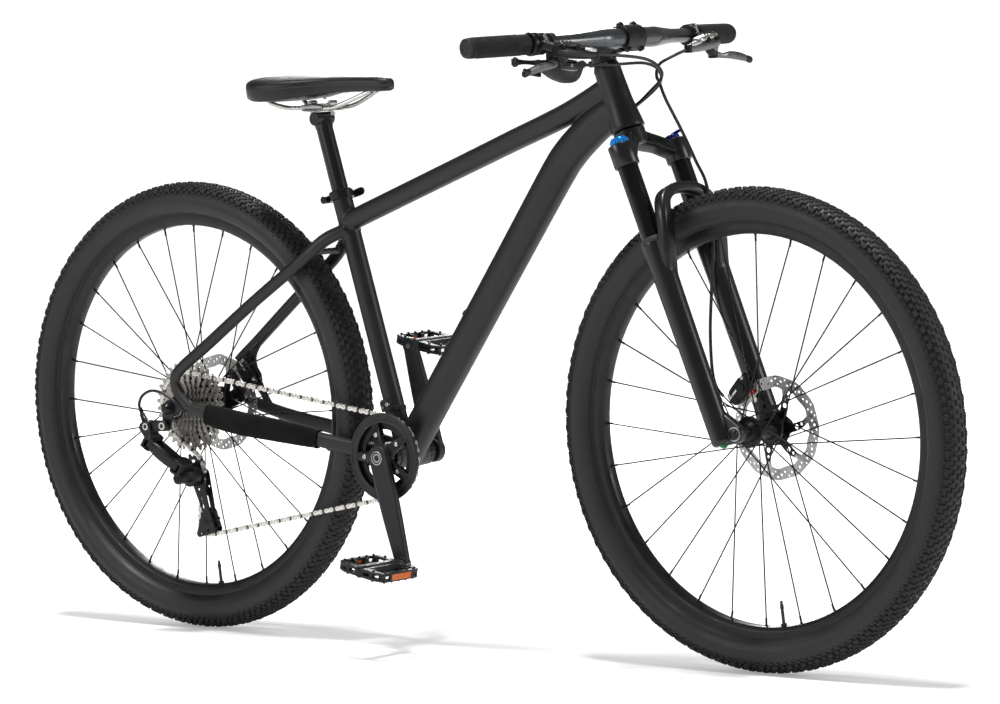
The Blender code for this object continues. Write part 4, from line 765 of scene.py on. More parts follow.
def saddle(columns):
    """Cover seams, shell, rails and the two-bolt clamp."""
    seams = Piece("saddle_seams")
    for side in (-1, 1):
        path = [Vector((x, side * half * SEAM_STAND, edge - 0.6)) for x, half, _, edge, _ in zip(*columns)]
        seams.tube(path, 0.6, 8, Z)
    seams.place("saddle", SEAL)
    shell = Piece("saddle_shell")
    rings = []
    for x, half, skirt, edge, _ in list(zip(*columns))[3:-3]:
        inner = half * 0.88
        rings.append(
            xyz(
                (x, inner, skirt + 1), (x, inner, skirt + 6), (x, -inner, skirt + 6),
                (x, -inner, skirt + 1), (x, -inner * 0.55, skirt - 1.4), (x, inner * 0.55, skirt - 1.4)))
    shell.skin(rings)
    shell.place("saddle", PLASTIC, bevel=0.8)
    staples = Piece("saddle_shell_screws")
    for x in (-262, -225, -180):
        for side in (-1, 1):
            staples.disc(Vector((x, side * 34, 874.5)), -Z, -2, 1.6, 2.6, 16)
    staples.place("saddle", STEEL)
    rails = Piece("saddle_rail_wires")
    for side in (-1, 1):
        rails.tube(
            smooth_path(
                xyz(
                    (-242, 42, 880), (-230, 40, 870), (-208, 27, 862.2), (-185, 22, 861.2),
                    (-125, 22, 861.2), (-98, 20.5, 866.5), (-62, 13, 880), (-44, 8.5, 888), side=side)),
            3.6, 20, Z)
    rails.place("saddle", STEEL, replaces="saddle_rails", slot="steel")
    clamp = Piece("saddle_clamp_plates")
    middle = seat_point(560).x + 2
    for side in (-1, 1):
        clamp.tube(
            xyz((middle - 23, 22.5, 863), (middle, 22.5, 864), (middle + 23, 22.5, 863), side=side),
            [(6.4, 3), (7.2, 4.6), (6.4, 3)], 20, square=3)
        clamp.tube(
            xyz((middle - 21, 22.5, 857.5), (middle, 22.5, 856.2), (middle + 21, 22.5, 857.5), side=side),
            [(6, 1.4), (7, 1.8), (6, 1.4)], 20, square=3)
    clamp.block(Vector((middle, 0, 864)), (42, 42, 6))
    clamp.block(Vector((middle, 0, 857.2)), (36, 42, 2.2))
    clamp.place("saddle", ALLOY, replaces="saddle_clamp", slot="black_anodised", bevel=0.8)
    bolts = Piece("saddle_clamp_bolts")
    for ahead in (-21.5, 21.5):
        foot = Vector((middle + ahead, 0, 869))
        bolts.rod(foot - Z * 20, foot, 2.4, 16)
        bolts.disc(foot - Z * 20, Z, 0, 5, 4.2, 24)
        bolts.disc(foot, Y, -8, 8, 4, 24)
    bolts.place("saddle", STEEL)


frame_tubes()
frame_fittings()
headset()
bottom_bracket()
seat_clamp()
rear_axle()
seatpost()
saddle(saddle_cover())


# ---------------------------------------------------------------- wheels
def casing_point(turn, lift=0):
    """(sideways, radius) on the tyre's skin; turn 0 is the crown, lift stands off the skin."""
    return ((CASING_HALF_WIDTH + lift) * sin(turn), CASING_CENTRE + (CASING_HEIGHT + lift) * cos(turn))


def tyre(end, axle, body):
    """A tyre's casing with ribbed sidewalls, and its rows of tread blocks."""
    casing = Piece(f"{end}_tyre_casing")
    bead = [(20.5, 320.3), (16.8, 318.4), (14, 317.4), (11.8, 316.9), (9.6, 313)]
    profile = [(-y, r) for y, r in reversed(bead)]
    for i in range(61):
        degrees = -125 + 250 * i / 60
        rib = 0.45 if 75 < abs(degrees) < 112 and i % 3 == 0 else 0
        profile.append(casing_point(radians(degrees), rib))
    profile += bead
    for i in range(21):
        turn = radians(130 - 260 * i / 20)
        profile.append((26.5 * sin(turn), CASING_CENTRE - 1 + 25.8 * cos(turn)))
    casing.turned(profile, axle, Y, 180)
    casing.place(body, SIDEWALL, replaces=f"{end}_tyre", slot="tyre", angle=60)

    tread = Piece(f"{end}_tyre_tread")
    pitches = 84
    rows = [
        (7.5, 0, 6, 8, 3), (8.5, 0.5, 4.8, 5.8, 2.6), (23, 0.25, 6.6, 6.4, 3), (23, 0.75, 5, 5.6, 2.8),
        (36, 0, 5.6, 8.2, 3.4), (36, 0.5, 5, 6, 3.2), (50, 0.25, 6.8, 9.6, 4.6), (51, 0.75, 5, 7.2, 3.8),
        (62, 0, 4, 6.6, 2.4), (62, 0.5, 4, 6.6, 2.4), (71, 0.25, 2.4, 5, 0.8), (71, 0.75, 2.4, 5, 0.8)]
    for i in range(pitches):
        for degrees, phase, wide, long, high in rows:
            for side in (-1, 1):
                stagger = 0.25 if side > 0 and degrees < 20 else 0
                turn = TAU * (i + phase + stagger) / pitches
                tread_block(tread, axle, turn, side * radians(degrees), wide, long, high)
    tread.place(body, RUBBER, slot="tyre", clean=False, angle=30)


def tread_block(piece, axle, turn, lean, wide, long, high):
    """One tapered block of rubber standing on the casing."""
    out = outward(turn)
    ahead = Vector((-out.z, 0, out.x))
    foot_y, foot_r = casing_point(lean, -0.6)
    foot = axle + out * foot_r + foot_y * Y
    stand = (out * cos(lean) + Y * sin(lean)).normalized()
    across = ahead.cross(stand).normalized()
    rows = []
    for rise, shrink in ((0, 1.12), (high * 0.75, 0.96), (high, 0.8)):
        rows.append(
            [
                piece.bm.verts.new(
                    foot + stand * rise + ahead * (a * long / 2 * shrink)
                    + across * (b * wide / 2 * shrink))
                for a, b in ((-1, -1), (1, -1), (1, 1), (-1, 1))])
    for low, upper in zip(rows, rows[1:]):
        for k in range(4):
            j = (k + 1) % 4
            piece.bm.faces.new((low[k], upper[k], upper[j], low[j]))
    piece.bm.faces.new(rows[-1][::-1])


def rim(end, axle, body):
    """The rim with its nipples and valve."""
    half = RIM_HALF_WIDTH
    hoop = Piece(f"{end}_rim_hoop")
    profile = [
        (-5, RIM_INNER_RADIUS), (5, RIM_INNER_RADIUS), (8.5, 299), (12.5, 304), (half, 306.5),
        (half, 315.8), (half - 0.6, RIM_OUTER_RADIUS), (half - 2.2, RIM_OUTER_RADIUS), (half - 3, 314),
        (half - 4, 309), (-half + 4, 309), (-half + 3, 314), (-half + 2.2, RIM_OUTER_RADIUS),
        (-half + 0.6, RIM_OUTER_RADIUS), (-half, 315.8), (-half, 306.5), (-12.5, 304), (-8.5, 299)]
    hoop.turned(profile, axle, Y, 180)
    hoop.place(body, RIM, replaces=f"{end}_rim", slot="black_anodised")
    nipples = Piece(f"{end}_nipples")
    for i in range(SPOKES):
        turn = TAU * i / SPOKES
        out = outward(turn)
        nipples.turned(
            [(286.2, 0), (286.2, 1.3), (287, 1.7), (296, 1.7), (296.8, 2.4), (298.4, 2.4), (298.4, 0)],
            axle, out, 10)
    nipples.place(body, BLACK_STEEL)
    valve = Piece(f"{end}_valve")
    turn = -pi / 2 + TAU / SPOKES / 2
    out = outward(turn)
    valve.turned(
        [(260, 0), (260, 2), (265.5, 2.2), (266, 2.9), (272, 3), (272.5, 2.4), (294, 2.6), (294.5, 4.8),
         (298.5, 4.8), (298.5, 0)],
        axle, out, 20)
    valve.place(body, SEAL)


def spokes(end, axle, body, right_y, left_y):
    """Spokes laced in crossing pairs, each with an elbow at its flange."""
    laced = Piece(f"{end}_spokes")
    for i in range(SPOKES):
        turn = TAU * i / SPOKES
        lean = SPOKE_LEAN if (i // 2) % 2 else -SPOKE_LEAN
        hub_y = (left_y if i % 2 else right_y) + copysign(SPOKE_STAGGER, lean)
        rim_end = around(axle, turn, 292.5)
        hub_end = around(axle, turn + lean, 21.8, hub_y)
        laced.rod(hub_end, rim_end, 1.15, 8)
        laced.disc(hub_end, Y, -2.2, 2.2, 1.6, 10, 0.3)
    laced.place(body, SPOKE, replaces=f"{end}_hub_and_spokes", slot="black_anodised")


def hub(end, axle, body, right_y, left_y, right_end, left_end, rotor_y):
    """The hub shell, its flanges turned in one with it, and the rotor's lock ring."""
    Piece(f"{end}_hub_shell").turned(
        [(right_end + 0.5, 5.2), (right_end + 0.5, 8.6), (right_y - 9, 9), (right_y - 7.5, 14),
         (right_y - 2.6, 16), (right_y - 2.4, 23.5), (right_y - 1.8, 24.1), (right_y + 1.8, 24.1),
         (right_y + 2.4, 23.5), (right_y + 3, 17), (right_y + 8, 14.2), ((right_y + left_y) / 2, 13),
         (left_y - 8, 14.2), (left_y - 3, 17), (left_y - 2.4, 23.5), (left_y - 1.8, 24.1),
         (left_y + 1.8, 24.1), (left_y + 2.4, 23.5), (left_y + 3, 18), (rotor_y + 1.6, 17.2),
         (rotor_y + 3.6, 15.8), (rotor_y + 4.2, 11.2), (left_end - 1, 10), (left_end - 0.5, 5.2)],
        axle, Y, 64).place(body, SATIN, slot="black_anodised", angle=30)
    lock = Piece(f"{end}_rotor_lockring")
    lock.flat([notched(20, 19, 72, 2), circle(11.8, 40)], axle + (rotor_y + 3) * Y, 3, edge=0.4)
    lock.place(body, SATIN)


def rotor(end, axle, body, rotor_y):
    """A brake rotor: a wavy drilled band riveted to a black six-armed carrier."""
    lobes = 12
    holes = []
    for i in range(lobes):
        for shift, radius, size in (
            (0, 75.2, 1.9), (0.1, 71.8, 2.2), (0.2, 68.4, 1.9), (0.29, 75.2, 1.7), (0.38, 71.5, 2),
            (-0.06, 67.2, 1.6)):
            turn = TAU * i / lobes + shift
            holes.append(circle(size, 14, polar(radius, turn)))
    band_piece = Piece(f"{end}_rotor_band")
    band_piece.flat(
        [lobed(79.3, 0.7, lobes, 240), lobed(61.2, 1.2, lobes, 240)] + holes, axle + rotor_y * Y, 1.8,
        edge=0.12)
    for i in range(6):
        turn = TAU * i / 6
        foot, tip = turn + 0.21, turn + 0.26
        band_piece.flat(
            [band([(55 * cos(foot), 55 * sin(foot), 4.2), (63.2 * cos(tip), 63.2 * sin(tip), 5)])],
            axle + rotor_y * Y, 1.7, edge=0.12)
    band_piece.place(body, BRUSHED, replaces=f"{end}_rotor", slot="steel", angle=30)
    carrier = Piece(f"{end}_rotor_carrier")
    star, steps = [], 288
    for i in range(steps):
        turn = TAU * i / steps
        arm = max(0, cos(6 * turn)) ** 1.6
        radius = 26.2 + 33 * arm
        lean = turn + 0.22 * arm
        star.append(polar(radius, lean))
    windows = []
    for i in range(6):
        turn = TAU * i / 6
        for radius, lean, size in ((38.5, 0.08, 4), (48, 0.16, 2.6)):
            windows.append(circle(size, 16, polar(radius, turn + lean)))
    carrier.flat([star, circle(18.5, 48)] + windows, axle + rotor_y * Y, 2.6, edge=0.2)
    carrier.place(body, SATIN, angle=30)
    rivets = Piece(f"{end}_rotor_rivets")
    for i in range(6):
        rivets.disc(around(axle, TAU * i / 6 + 0.21, 56, rotor_y), Y, -2.2, 2.2, 3.4, 20)
    rivets.place(body, STEEL)


def wheel(end, axle, right_y, left_y, right_end, left_end, rotor_y):
    body = f"{end}_wheel"
    tyre(end, axle, body)
    rim(end, axle, body)
    spokes(end, axle, body, right_y, left_y)
    hub(end, axle, body, right_y, left_y, right_end, left_end, rotor_y)
    rotor(end, axle, body, rotor_y)


wheel("front", FRONT_AXLE, -29, 23, -49.7, 49.7, 39.5)
wheel("rear", REAR_AXLE, -20, 33, -67.2, 67.2, 52)


# ---------------------------------------------------------------- drive
def sprocket(teeth, tip=3, root=4, steps=8):
    """The toothed edge of a sprocket, as (u, v) points."""
    radius = pitch_radius(teeth)
    points = []
    for i in range(teeth * steps):
        phase = (i % steps) / steps
        turn = TAU * i / (teeth * steps)
        rise = 0.5 - 0.5 * cos(TAU * phase)
        r = radius - root + (tip + root) * min(1, max(0, 1.45 * rise - 0.22))
        points.append(polar(r, turn))
    return points


COGS = [
    (36, -23.2), (32, -26.2), (28, -30.1), (24, -34.1), (21, -38), (19, -41.8), (17, -45.7), (15, -49.6),
    (13, -53.5), (11, -57.4)]


def cassette():
    """Ten sprockets on dark carriers, with the lock ring in front."""
    cogs = Piece("cassette_sprockets")
    for teeth, y in COGS:
        edge = pitch_radius(teeth) - 4
        holes = [circle(17.8 if teeth > 13 else 15, 40)]
        if teeth > 20:
            count = 14 if teeth > 30 else 10
            for i in range(count):
                start = TAU * i / count
                holes.append(slot_hole(edge - 9, edge - 3.6, start, start + TAU / count * 0.56))
        cogs.flat([sprocket(teeth)] + holes, REAR_AXLE + y * Y, 1.7, edge=0.15)
    cogs.place("cassette", COG, replaces="cassette", slot="steel", angle=30)
    core = Piece("cassette_carriers")
    for (teeth, y), (smaller, _) in zip(COGS, COGS[1:] + [(12, 0)]):
        radius = max(pitch_radius(smaller) - 7.5, 18.5)
        core.ring(REAR_AXLE, Y, y - 3, y - 1, 16, radius, 48, 0.3)
    core.place("cassette", BLACK_STEEL)
    lock = Piece("cassette_lock_ring")
    lock.flat([notched(14.6, 15.8, 60, 2), circle(10.5, 32)], REAR_AXLE - 60 * Y, 3.4, edge=0.3)
    lock.place("cassette", STEEL)


def belt_points(wheels, step=0.05):
    """Points of the closed band round (centre, radius, spin), in order; spin is +1 or -1."""
    count = len(wheels)
    ends = []
    for i in range(count):
        (a, ra, sa), (b, rb, sb) = wheels[i], wheels[(i + 1) % count]
        gap = Vector((b.x - a.x, b.z - a.z))
        normal = atan2(gap.y, gap.x) + asin((sb * rb - sa * ra) / gap.length) + pi / 2
        ends.append((around(a, normal, sa * ra), around(b, normal, sb * rb)))
    points = []
    for i in range(count):
        centre, radius, spin = wheels[i]
        arrive, depart = ends[i - 1][1], ends[i][0]
        start = atan2(arrive.z - centre.z, arrive.x - centre.x)
        end = atan2(depart.z - centre.z, depart.x - centre.x)
        sweep = (end - start) % TAU if spin < 0 else -((start - end) % TAU)
        steps = max(2, round(abs(sweep) / step))
        points += [(around(centre, start + sweep * k / steps, radius), i) for k in range(steps + 1)]
    return points


def chain_pins():
    """Every pin's place along the chain, and the wheel it sits on (or None between wheels)."""
    pulley = pitch_radius(PULLEY_TEETH)
    corners = belt_points(
        [(Vector((BB.x, RING_Y, BB.z)), pitch_radius(RING_TEETH), -1),
         (Vector((REAR_AXLE.x, COG_Y, REAR_AXLE.z)), pitch_radius(COG_TEETH), -1),
         (GUIDE_PULLEY, pulley, 1), (TENSION_PULLEY, pulley, -1)])
    lengths = [0]
    for (a, _), (b, _) in zip(corners, corners[1:] + corners[:1]):
        lengths.append(lengths[-1] + (b - a).length)
    links = 2 * round(lengths[-1] / CHAIN_PITCH / 2)
    pins, k = [], 0
    for i in range(links):
        reach = lengths[-1] * i / links
        while lengths[k + 1] < reach:
            k += 1
        (a, on_a), (b, on_b) = corners[k], corners[(k + 1) % len(corners)]
        part = (reach - lengths[k]) / max(lengths[k + 1] - lengths[k], 1e-9)
        pins.append((a.lerp(b, part), on_a if on_a == on_b else None, on_a))
    return pins


def chain():
    """The chain's plates, rollers and pins; the stretch round the pulleys swings with the cage."""
    pins = chain_pins()
    bodies = {"run": "frame", "cage": "derailleur_cage"}
    plates = {
        key: {kind: Piece(f"chain_{key}_{kind}") for kind in ("outer_plates", "inner_plates", "rollers")}
        for key in bodies}
    for i, (pin, _, before) in enumerate(pins):
        after = pins[(i + 1) % len(pins)][0]
        on_cage = before == 2 or (before == 3 and pin.z < 180 and pin.x < -395)
        pieces = plates["cage" if on_cage else "run"]
        along = (after - pin).normalized()
        normal = (Y - along * Y.dot(along)).normalized()
        middle = (pin + after) / 2
        outer = i % 2 == 0
        gap = 2.6 if outer else 1.6
        half = (after - pin).length / 2
        for side in (-1, 1):
            link_plate(
                pieces["outer_plates" if outer else "inner_plates"], middle + normal * side * gap, along,
                normal, half)
        rollers = pieces["rollers"]
        rollers.disc(pin, normal, -1, 1, 3.8, 12, 0.2)
        rollers.disc(pin, normal, -3.4, 3.4, 1.8, 10, 0.2)
    for key, body in bodies.items():
        plates[key]["outer_plates"].place(
            body, NICKEL, slot="steel", clean=False, angle=30, replaces="chain" if key == "run" else None)
        plates[key]["inner_plates"].place(body, DARK_LINK, slot="steel", clean=False, angle=30)
        plates[key]["rollers"].place(body, STEEL, slot="steel", angle=30)


def link_plate(piece, middle, along, normal, half):
    """A waisted plate round two pins."""
    up = normal.cross(along)
    outline = []
    for i in range(28):
        turn = TAU * i / 28
        c, s = cos(turn), sin(turn)
        x = half * copysign(min(1, abs(c) * 1.15), c) + 4 * c
        wide = 4.4 - 1.9 * max(0, 1 - (x / (half * 0.8)) ** 2)
        outline.append((x, wide * copysign(abs(s) ** 0.8, s)))
    faces = []
    for offset, shrink in ((-0.42, 0.9), (-0.24, 1), (0.24, 1), (0.42, 0.9)):
        faces.append(
            [
                piece.bm.verts.new(
                    middle + normal * offset + along * x * (1 - (1 - shrink) * 0.4) + up * y * shrink)
                for x, y in outline])
    for low, high in zip(faces, faces[1:]):
        for i in range(28):
            j = (i + 1) % 28
            piece.bm.faces.new((low[i], low[j], high[j], high[i]))
    piece.bm.faces.new(faces[0][::-1])
    piece.bm.faces.new(faces[-1])


def crank_arm(side):
    """A forged arm from its bolt boss to its pedal eye, with the crank bolt and the pedal's axle."""
    word = "right" if side < 0 else "left"
    eye = pedal_centre(side)
    near = BB + Vector((0, side * 67.2, 0))
    far = Vector((eye.x, side * 81.2, eye.z))
    arm = Piece(f"crank_arm_{word}")
    across = (far - near).normalized().cross(Y)
    arm.curve(
        [near, near.lerp(far, 0.15), near.lerp(far, 0.45), near.lerp(far, 0.72), near.lerp(far, 0.94), far],
        [(19.2, 6), (18.8, 6.6), (18.4, 6.8), (15.8, 6.6), (13.4, 6.2), (12.6, 6)], 28, across, 5, square=5)
    low, high = sorted((side * 59, side * 73.6))
    arm.disc(BB, Y, low, high, 19.6, 48, 1.2)
    low, high = sorted((side * 75.2, side * 87.2))
    arm.disc(Vector((eye.x, 0, eye.z)), Y, low, high, 13.1, 40, 1.2)
    body = "crankset"
    arm.place(body, CRANK_GREY, replaces=f"crank_{word}", slot="black_anodised", bevel=0.9)
    hardware = Piece(f"crank_{word}_bolt")
    face = BB + Vector((0, side * 73.8, 0))
    out = Y * side
    hardware.turned(
        [(-2, 10), (-2, 11.2), (0.8, 11.2), (1.2, 10.6), (1.2, 9.4), (-0.4, 9), (-0.4, 7.4), (0.4, 7),
         (0.4, 5), (-3, 4.6), (-3, 0)],
        face, out, 40)
    hardware.place(body, ALLOY)
    axle = Piece(f"pedal_axle_{word}")
    axle.rod(Vector((eye.x, side * 74, eye.z)), Vector((eye.x, side * 185, eye.z)), 4.5, 24)
    axle.disc(Vector((eye.x, 0, eye.z)), out, 87.2, 89.6, 8.2, 6, 0.4)
    axle.place(body, STEEL)


def chainset():
    """Spider, toothed ring, guard ring and their bolts."""
    arms = Piece("crank_spider")
    turns = [-pi / 2 + CRANK_TURN + radians(36 + 72 * i) for i in range(5)]
    for turn in turns:
        out = outward(turn)
        arms.curve(
            [BB + out * 12 - 59 * Y, BB + out * 30 - 57.5 * Y, BB + out * 44 - 55.5 * Y,
             BB + out * 60 - 54.5 * Y],
            [(12, 4.2), (8.8, 4), (7.8, 3), (7.4, 2.4)], 24, out.cross(Y), 4, square=4.5)
    arms.disc(BB, Y, -62.5, -54, 21.5, 48, 1)
    arms.rod(BB - 50 * Y, BB + 62 * Y, 11.8, 32)
    arms.place("crankset", SATIN, slot="black_anodised", bevel=0.6)
    toothed = Piece("chainring_toothed")
    toothed.flat([sprocket(RING_TEETH), circle(44, 96)], BB + RING_Y * Y, 2.1, edge=0.2)
    for turn in turns:
        toothed.block(
            around(BB, turn, 40, RING_Y), (14, 2.1, 15), outward(turn), Vector((-sin(turn), 0, cos(turn))))
    toothed.place("crankset", BLACK_STEEL, replaces="chainring", slot="black_steel", angle=30)
    Piece("chain_guard_ring").turned(
        [(-53.8, 55.5), (-53.8, 70), (-54.5, 70.9), (-56.6, 70.9), (-58, 69.6), (-58, 66.8), (-57, 65.8),
         (-57, 60), (-58, 59), (-58, 56.2), (-57.4, 55.3)],
        BB, Y, 144).place("crankset", PLASTIC, replaces="guard_ring", slot="black_plastic")
    bolts = Piece("chainring_bolts")
    for turn in turns:
        foot = around(BB, turn, 37.5, -60.2)
        bolts.bolt(foot, -Y, 3.6, 1.6)
        bolts.disc(foot, Y, 0, 12, 3.2, 24)
    bolts.place("crankset", STEEL, slot="black_steel")


def pedal(side):
    """A platform pedal: a cast frame round two windows, grip pins, bearing caps and reflectors."""
    word = "right" if side < 0 else "left"
    centre = pedal_centre(side)
    body = f"pedal_{word}"
    ahead = Vector((cos(PEDAL_TILT), 0, -sin(PEDAL_TILT)))
    top = ahead.cross(Y)
    outline = band(
        [(x, y, 7) for x in (-41, 41) for y in (-36, 36)] + [
            (x, y, 6) for x in (-28, 28) for y in (-43, 43)],
        8)
    windows = [
        band([(x0, y0, 3.5) for x0 in (a, b) for y0 in (-33, 33)], 4)
        for a, b in ((-37.2, -15), (15, 37.2))]
    cage = Piece(f"pedal_{word}_cage")
    for level, thick in ((5, 4.6), (-5, 4.6)):
        cage.flat([outline] + windows, centre + top * level, thick, normal=top, right=ahead, edge=0.8)
    for x in (-40.5, 40.5):
        for y in (-38, -13, 13, 38):
            cage.block(centre + ahead * x + Y * y, (9, 7, 12), ahead, top)
    for y in (-44, 44):
        for x in (-24, 24):
            cage.block(centre + ahead * x + Y * y, (7, 6, 12), ahead, top)
    cage.disc(centre, Y, -48, 48, 9.4, 32, 0.8)
    cage.place(body, PLASTIC, replaces=f"pedal_{word}", slot="black_plastic", bevel=0.4)
    teeth = Piece(f"pedal_{word}_pins")
    spots = [(x, y) for x in (-42.5, 42.5) for y in (-34, -17, 0, 17, 34)]
    spots += [(x, y) for x in (-26, 26) for y in (-43.5, 43.5)]
    for x, y in spots:
        spot = centre + ahead * x + Y * y
        for up in (top, -top):
            teeth.turned([(6, 0), (6, 2.3), (9.2, 2), (9.9, 1.4), (9.9, 0)], spot, up, 10)
    teeth.place(body, PLASTIC)
    caps = Piece(f"pedal_{word}_bearing_caps")
    caps.disc(centre, Y * side, 47, 49, 8, 32, 0.6)
    caps.ring(centre, Y * side, -49, -46.5, 5, 8.4, 32)
    caps.place(body, SATIN)
    glowing_reflectors = Piece(f"pedal_{word}_reflectors")
    for end in (-1, 1):
        glowing_reflectors.block(centre + ahead * end * 46.6, (3.4, 46, 10), ahead, top)
    # The reflectors carry a painted glow from their orange emission; they are no lamps.
    glowing_reflectors.place(body, REFLECTOR, bevel=0.6)
    frames = Piece(f"pedal_{word}_reflector_frames")
    for end in (-1, 1):
        for y in (-25.5, 25.5):
            frames.block(centre + ahead * end * 46.8 + Y * y, (4.2, 5, 13), ahead, top)
    frames.place(body, PLASTIC, bevel=0.6)


# ---------------------------------------------------------------- rear derailleur
def link_axis():
    return (LINK_BOTTOM - LINK_TOP).normalized().cross(Y).normalized()


def ears(piece, pivot, back, low, high):
    """Rounded ears past both ends of the links' pivots, and the wall that joins them behind."""
    axis = link_axis()
    middle = pivot + INNER_LINK_SHIFT / 2
    for side in (-1, 1):
        for swing in (-1, 1):
            piece.disc(middle + Y * swing * 8.5, axis * side, 8.3, 12.4, 7.4, 24, 0.8)
        piece.block(middle + axis * side * 10.35, (14.8, 17, 4.1), back, axis)
        piece.block(middle + back * 6 + axis * side * 10.35, (12, 30, 4.1), back, axis)
    piece.block(middle + back * 10.5 + axis * (low + high) / 2, (4.6, 30, high - low), back, axis)


def derailleur():
    """Hanger, knuckles, parallelogram, cage and pulleys."""
    hanger = Piece("derailleur_hanger_plate")
    bolt = HANGER_BOLT - REAR_AXLE
    hanger.flat(
        [band([(0, 0, 11.8), (-4, -10, 9.8), (bolt.x, bolt.z, 9.2)]), circle(5, 24)],
        Vector((REAR_AXLE.x, -76.6, REAR_AXLE.z)), 3, edge=0.5)
    hanger.place("frame", PAINT, replaces="derailleur_hanger", slot="black_anodised")

    axis = link_axis()
    along = (LINK_BOTTOM - LINK_TOP).normalized()
    knuckle = Piece("derailleur_b_knuckle_body")
    knuckle.flat(
        [band([(0, 0, 9), (B_AXLE.x - HANGER_BOLT.x, B_AXLE.z - HANGER_BOLT.z, 9.6)])],
        Vector((HANGER_BOLT.x, -85, HANGER_BOLT.z)), 9, edge=1.2)
    knuckle.flat(
        [band([(0, 0, 10.5), (-8, -2, 8.5), (LINK_TOP.x - B_AXLE.x + 1, -15, 9)])],
        Vector((B_AXLE.x, -85.8, B_AXLE.z)), 16.5, edge=1.6)
    knuckle.curve(
        [B_AXLE + Vector((-6, -6, 4)), B_AXLE + Vector((-13, -4, 10)), B_AXLE + Vector((-20, -2, 19))],
        [7, 5.6, 4.4], 20)
    ears(knuckle, LINK_TOP, -along, -12.4, 23)
    made = knuckle.place("frame", SATIN, replaces="derailleur_b_knuckle", slot="black_anodised")
    melt(made, 0.7, 5)
    rings = Piece("derailleur_mounting_bolts")
    for centre, radius, front in ((HANGER_BOLT, 6.8, -89.5), (B_AXLE, 6.2, -94.2)):
        rings.turned(
            [(-3, 0), (-3, radius), (0.8, radius), (1.4, radius - 0.6), (1.4, radius * 0.55),
             (-1.2, radius * 0.5), (-1.2, 0)],
            Vector((centre.x, front, centre.z)), -Y, 32)
    rings.place("frame", STEEL)

    for name, shift, wide, swell in (
        ("outer", Vector((0, 0, 0)), 10.2, -3), ("inner", INNER_LINK_SHIFT, 8, 1)):
        start, end = LINK_TOP + shift, LINK_BOTTOM + shift
        link = Piece(f"derailleur_{name}_link_body")
        link.curve(
            [start, start.lerp(end, 0.3) + Y * swell, start.lerp(end, 0.7) + Y * swell, end],
            [(8, 4.2), (wide, 4), (wide, 4), (8, 4.2)], 28, axis, 6, square=4)
        for pivot in (start, end):
            link.disc(pivot, axis, -7.7, 7.7, 5, 24, 0.8)
        link.place(
            f"derailleur_{name}_link", SATIN, replaces=f"derailleur_{name}_link", slot="black_anodised",
            bevel=0.6)
        pins = Piece(f"derailleur_{name}_link_pins")
        for pivot in (start, end):
            pins.disc(pivot, axis, -8.1, 8.1, 2.2, 16)
        pins.place(f"derailleur_{name}_link", STEEL)

    knuckle = Piece("derailleur_p_knuckle_body")
    knuckle.disc(CAGE_PIVOT, Y, -6, 10.4, 16.3, 48, 1.2)
    knuckle.disc(CAGE_PIVOT, Y, -34, -4, 9.6, 40, 1.2)
    knuckle.curve(
        [CAGE_PIVOT + Vector((-2, -30, 4)), CAGE_PIVOT + Vector((1, -16, 5)),
         CAGE_PIVOT + Vector((2, -2, 5))],
        [10, 11.2, 13], 24)
    ears(knuckle, LINK_BOTTOM, along, -12.4, 11.8)
    made = knuckle.place(
        "derailleur_p_knuckle", SATIN, replaces="derailleur_p_knuckle", slot="black_anodised")
    melt(made, 0.7, 5)
    Piece("derailleur_p_knuckle_bolt").bolt(
        CAGE_PIVOT - 33.8 * Y, -Y, 4.6, 1.8).place("derailleur_p_knuckle", BLACK_STEEL)
    derailleur_cage()
    shift_loop()


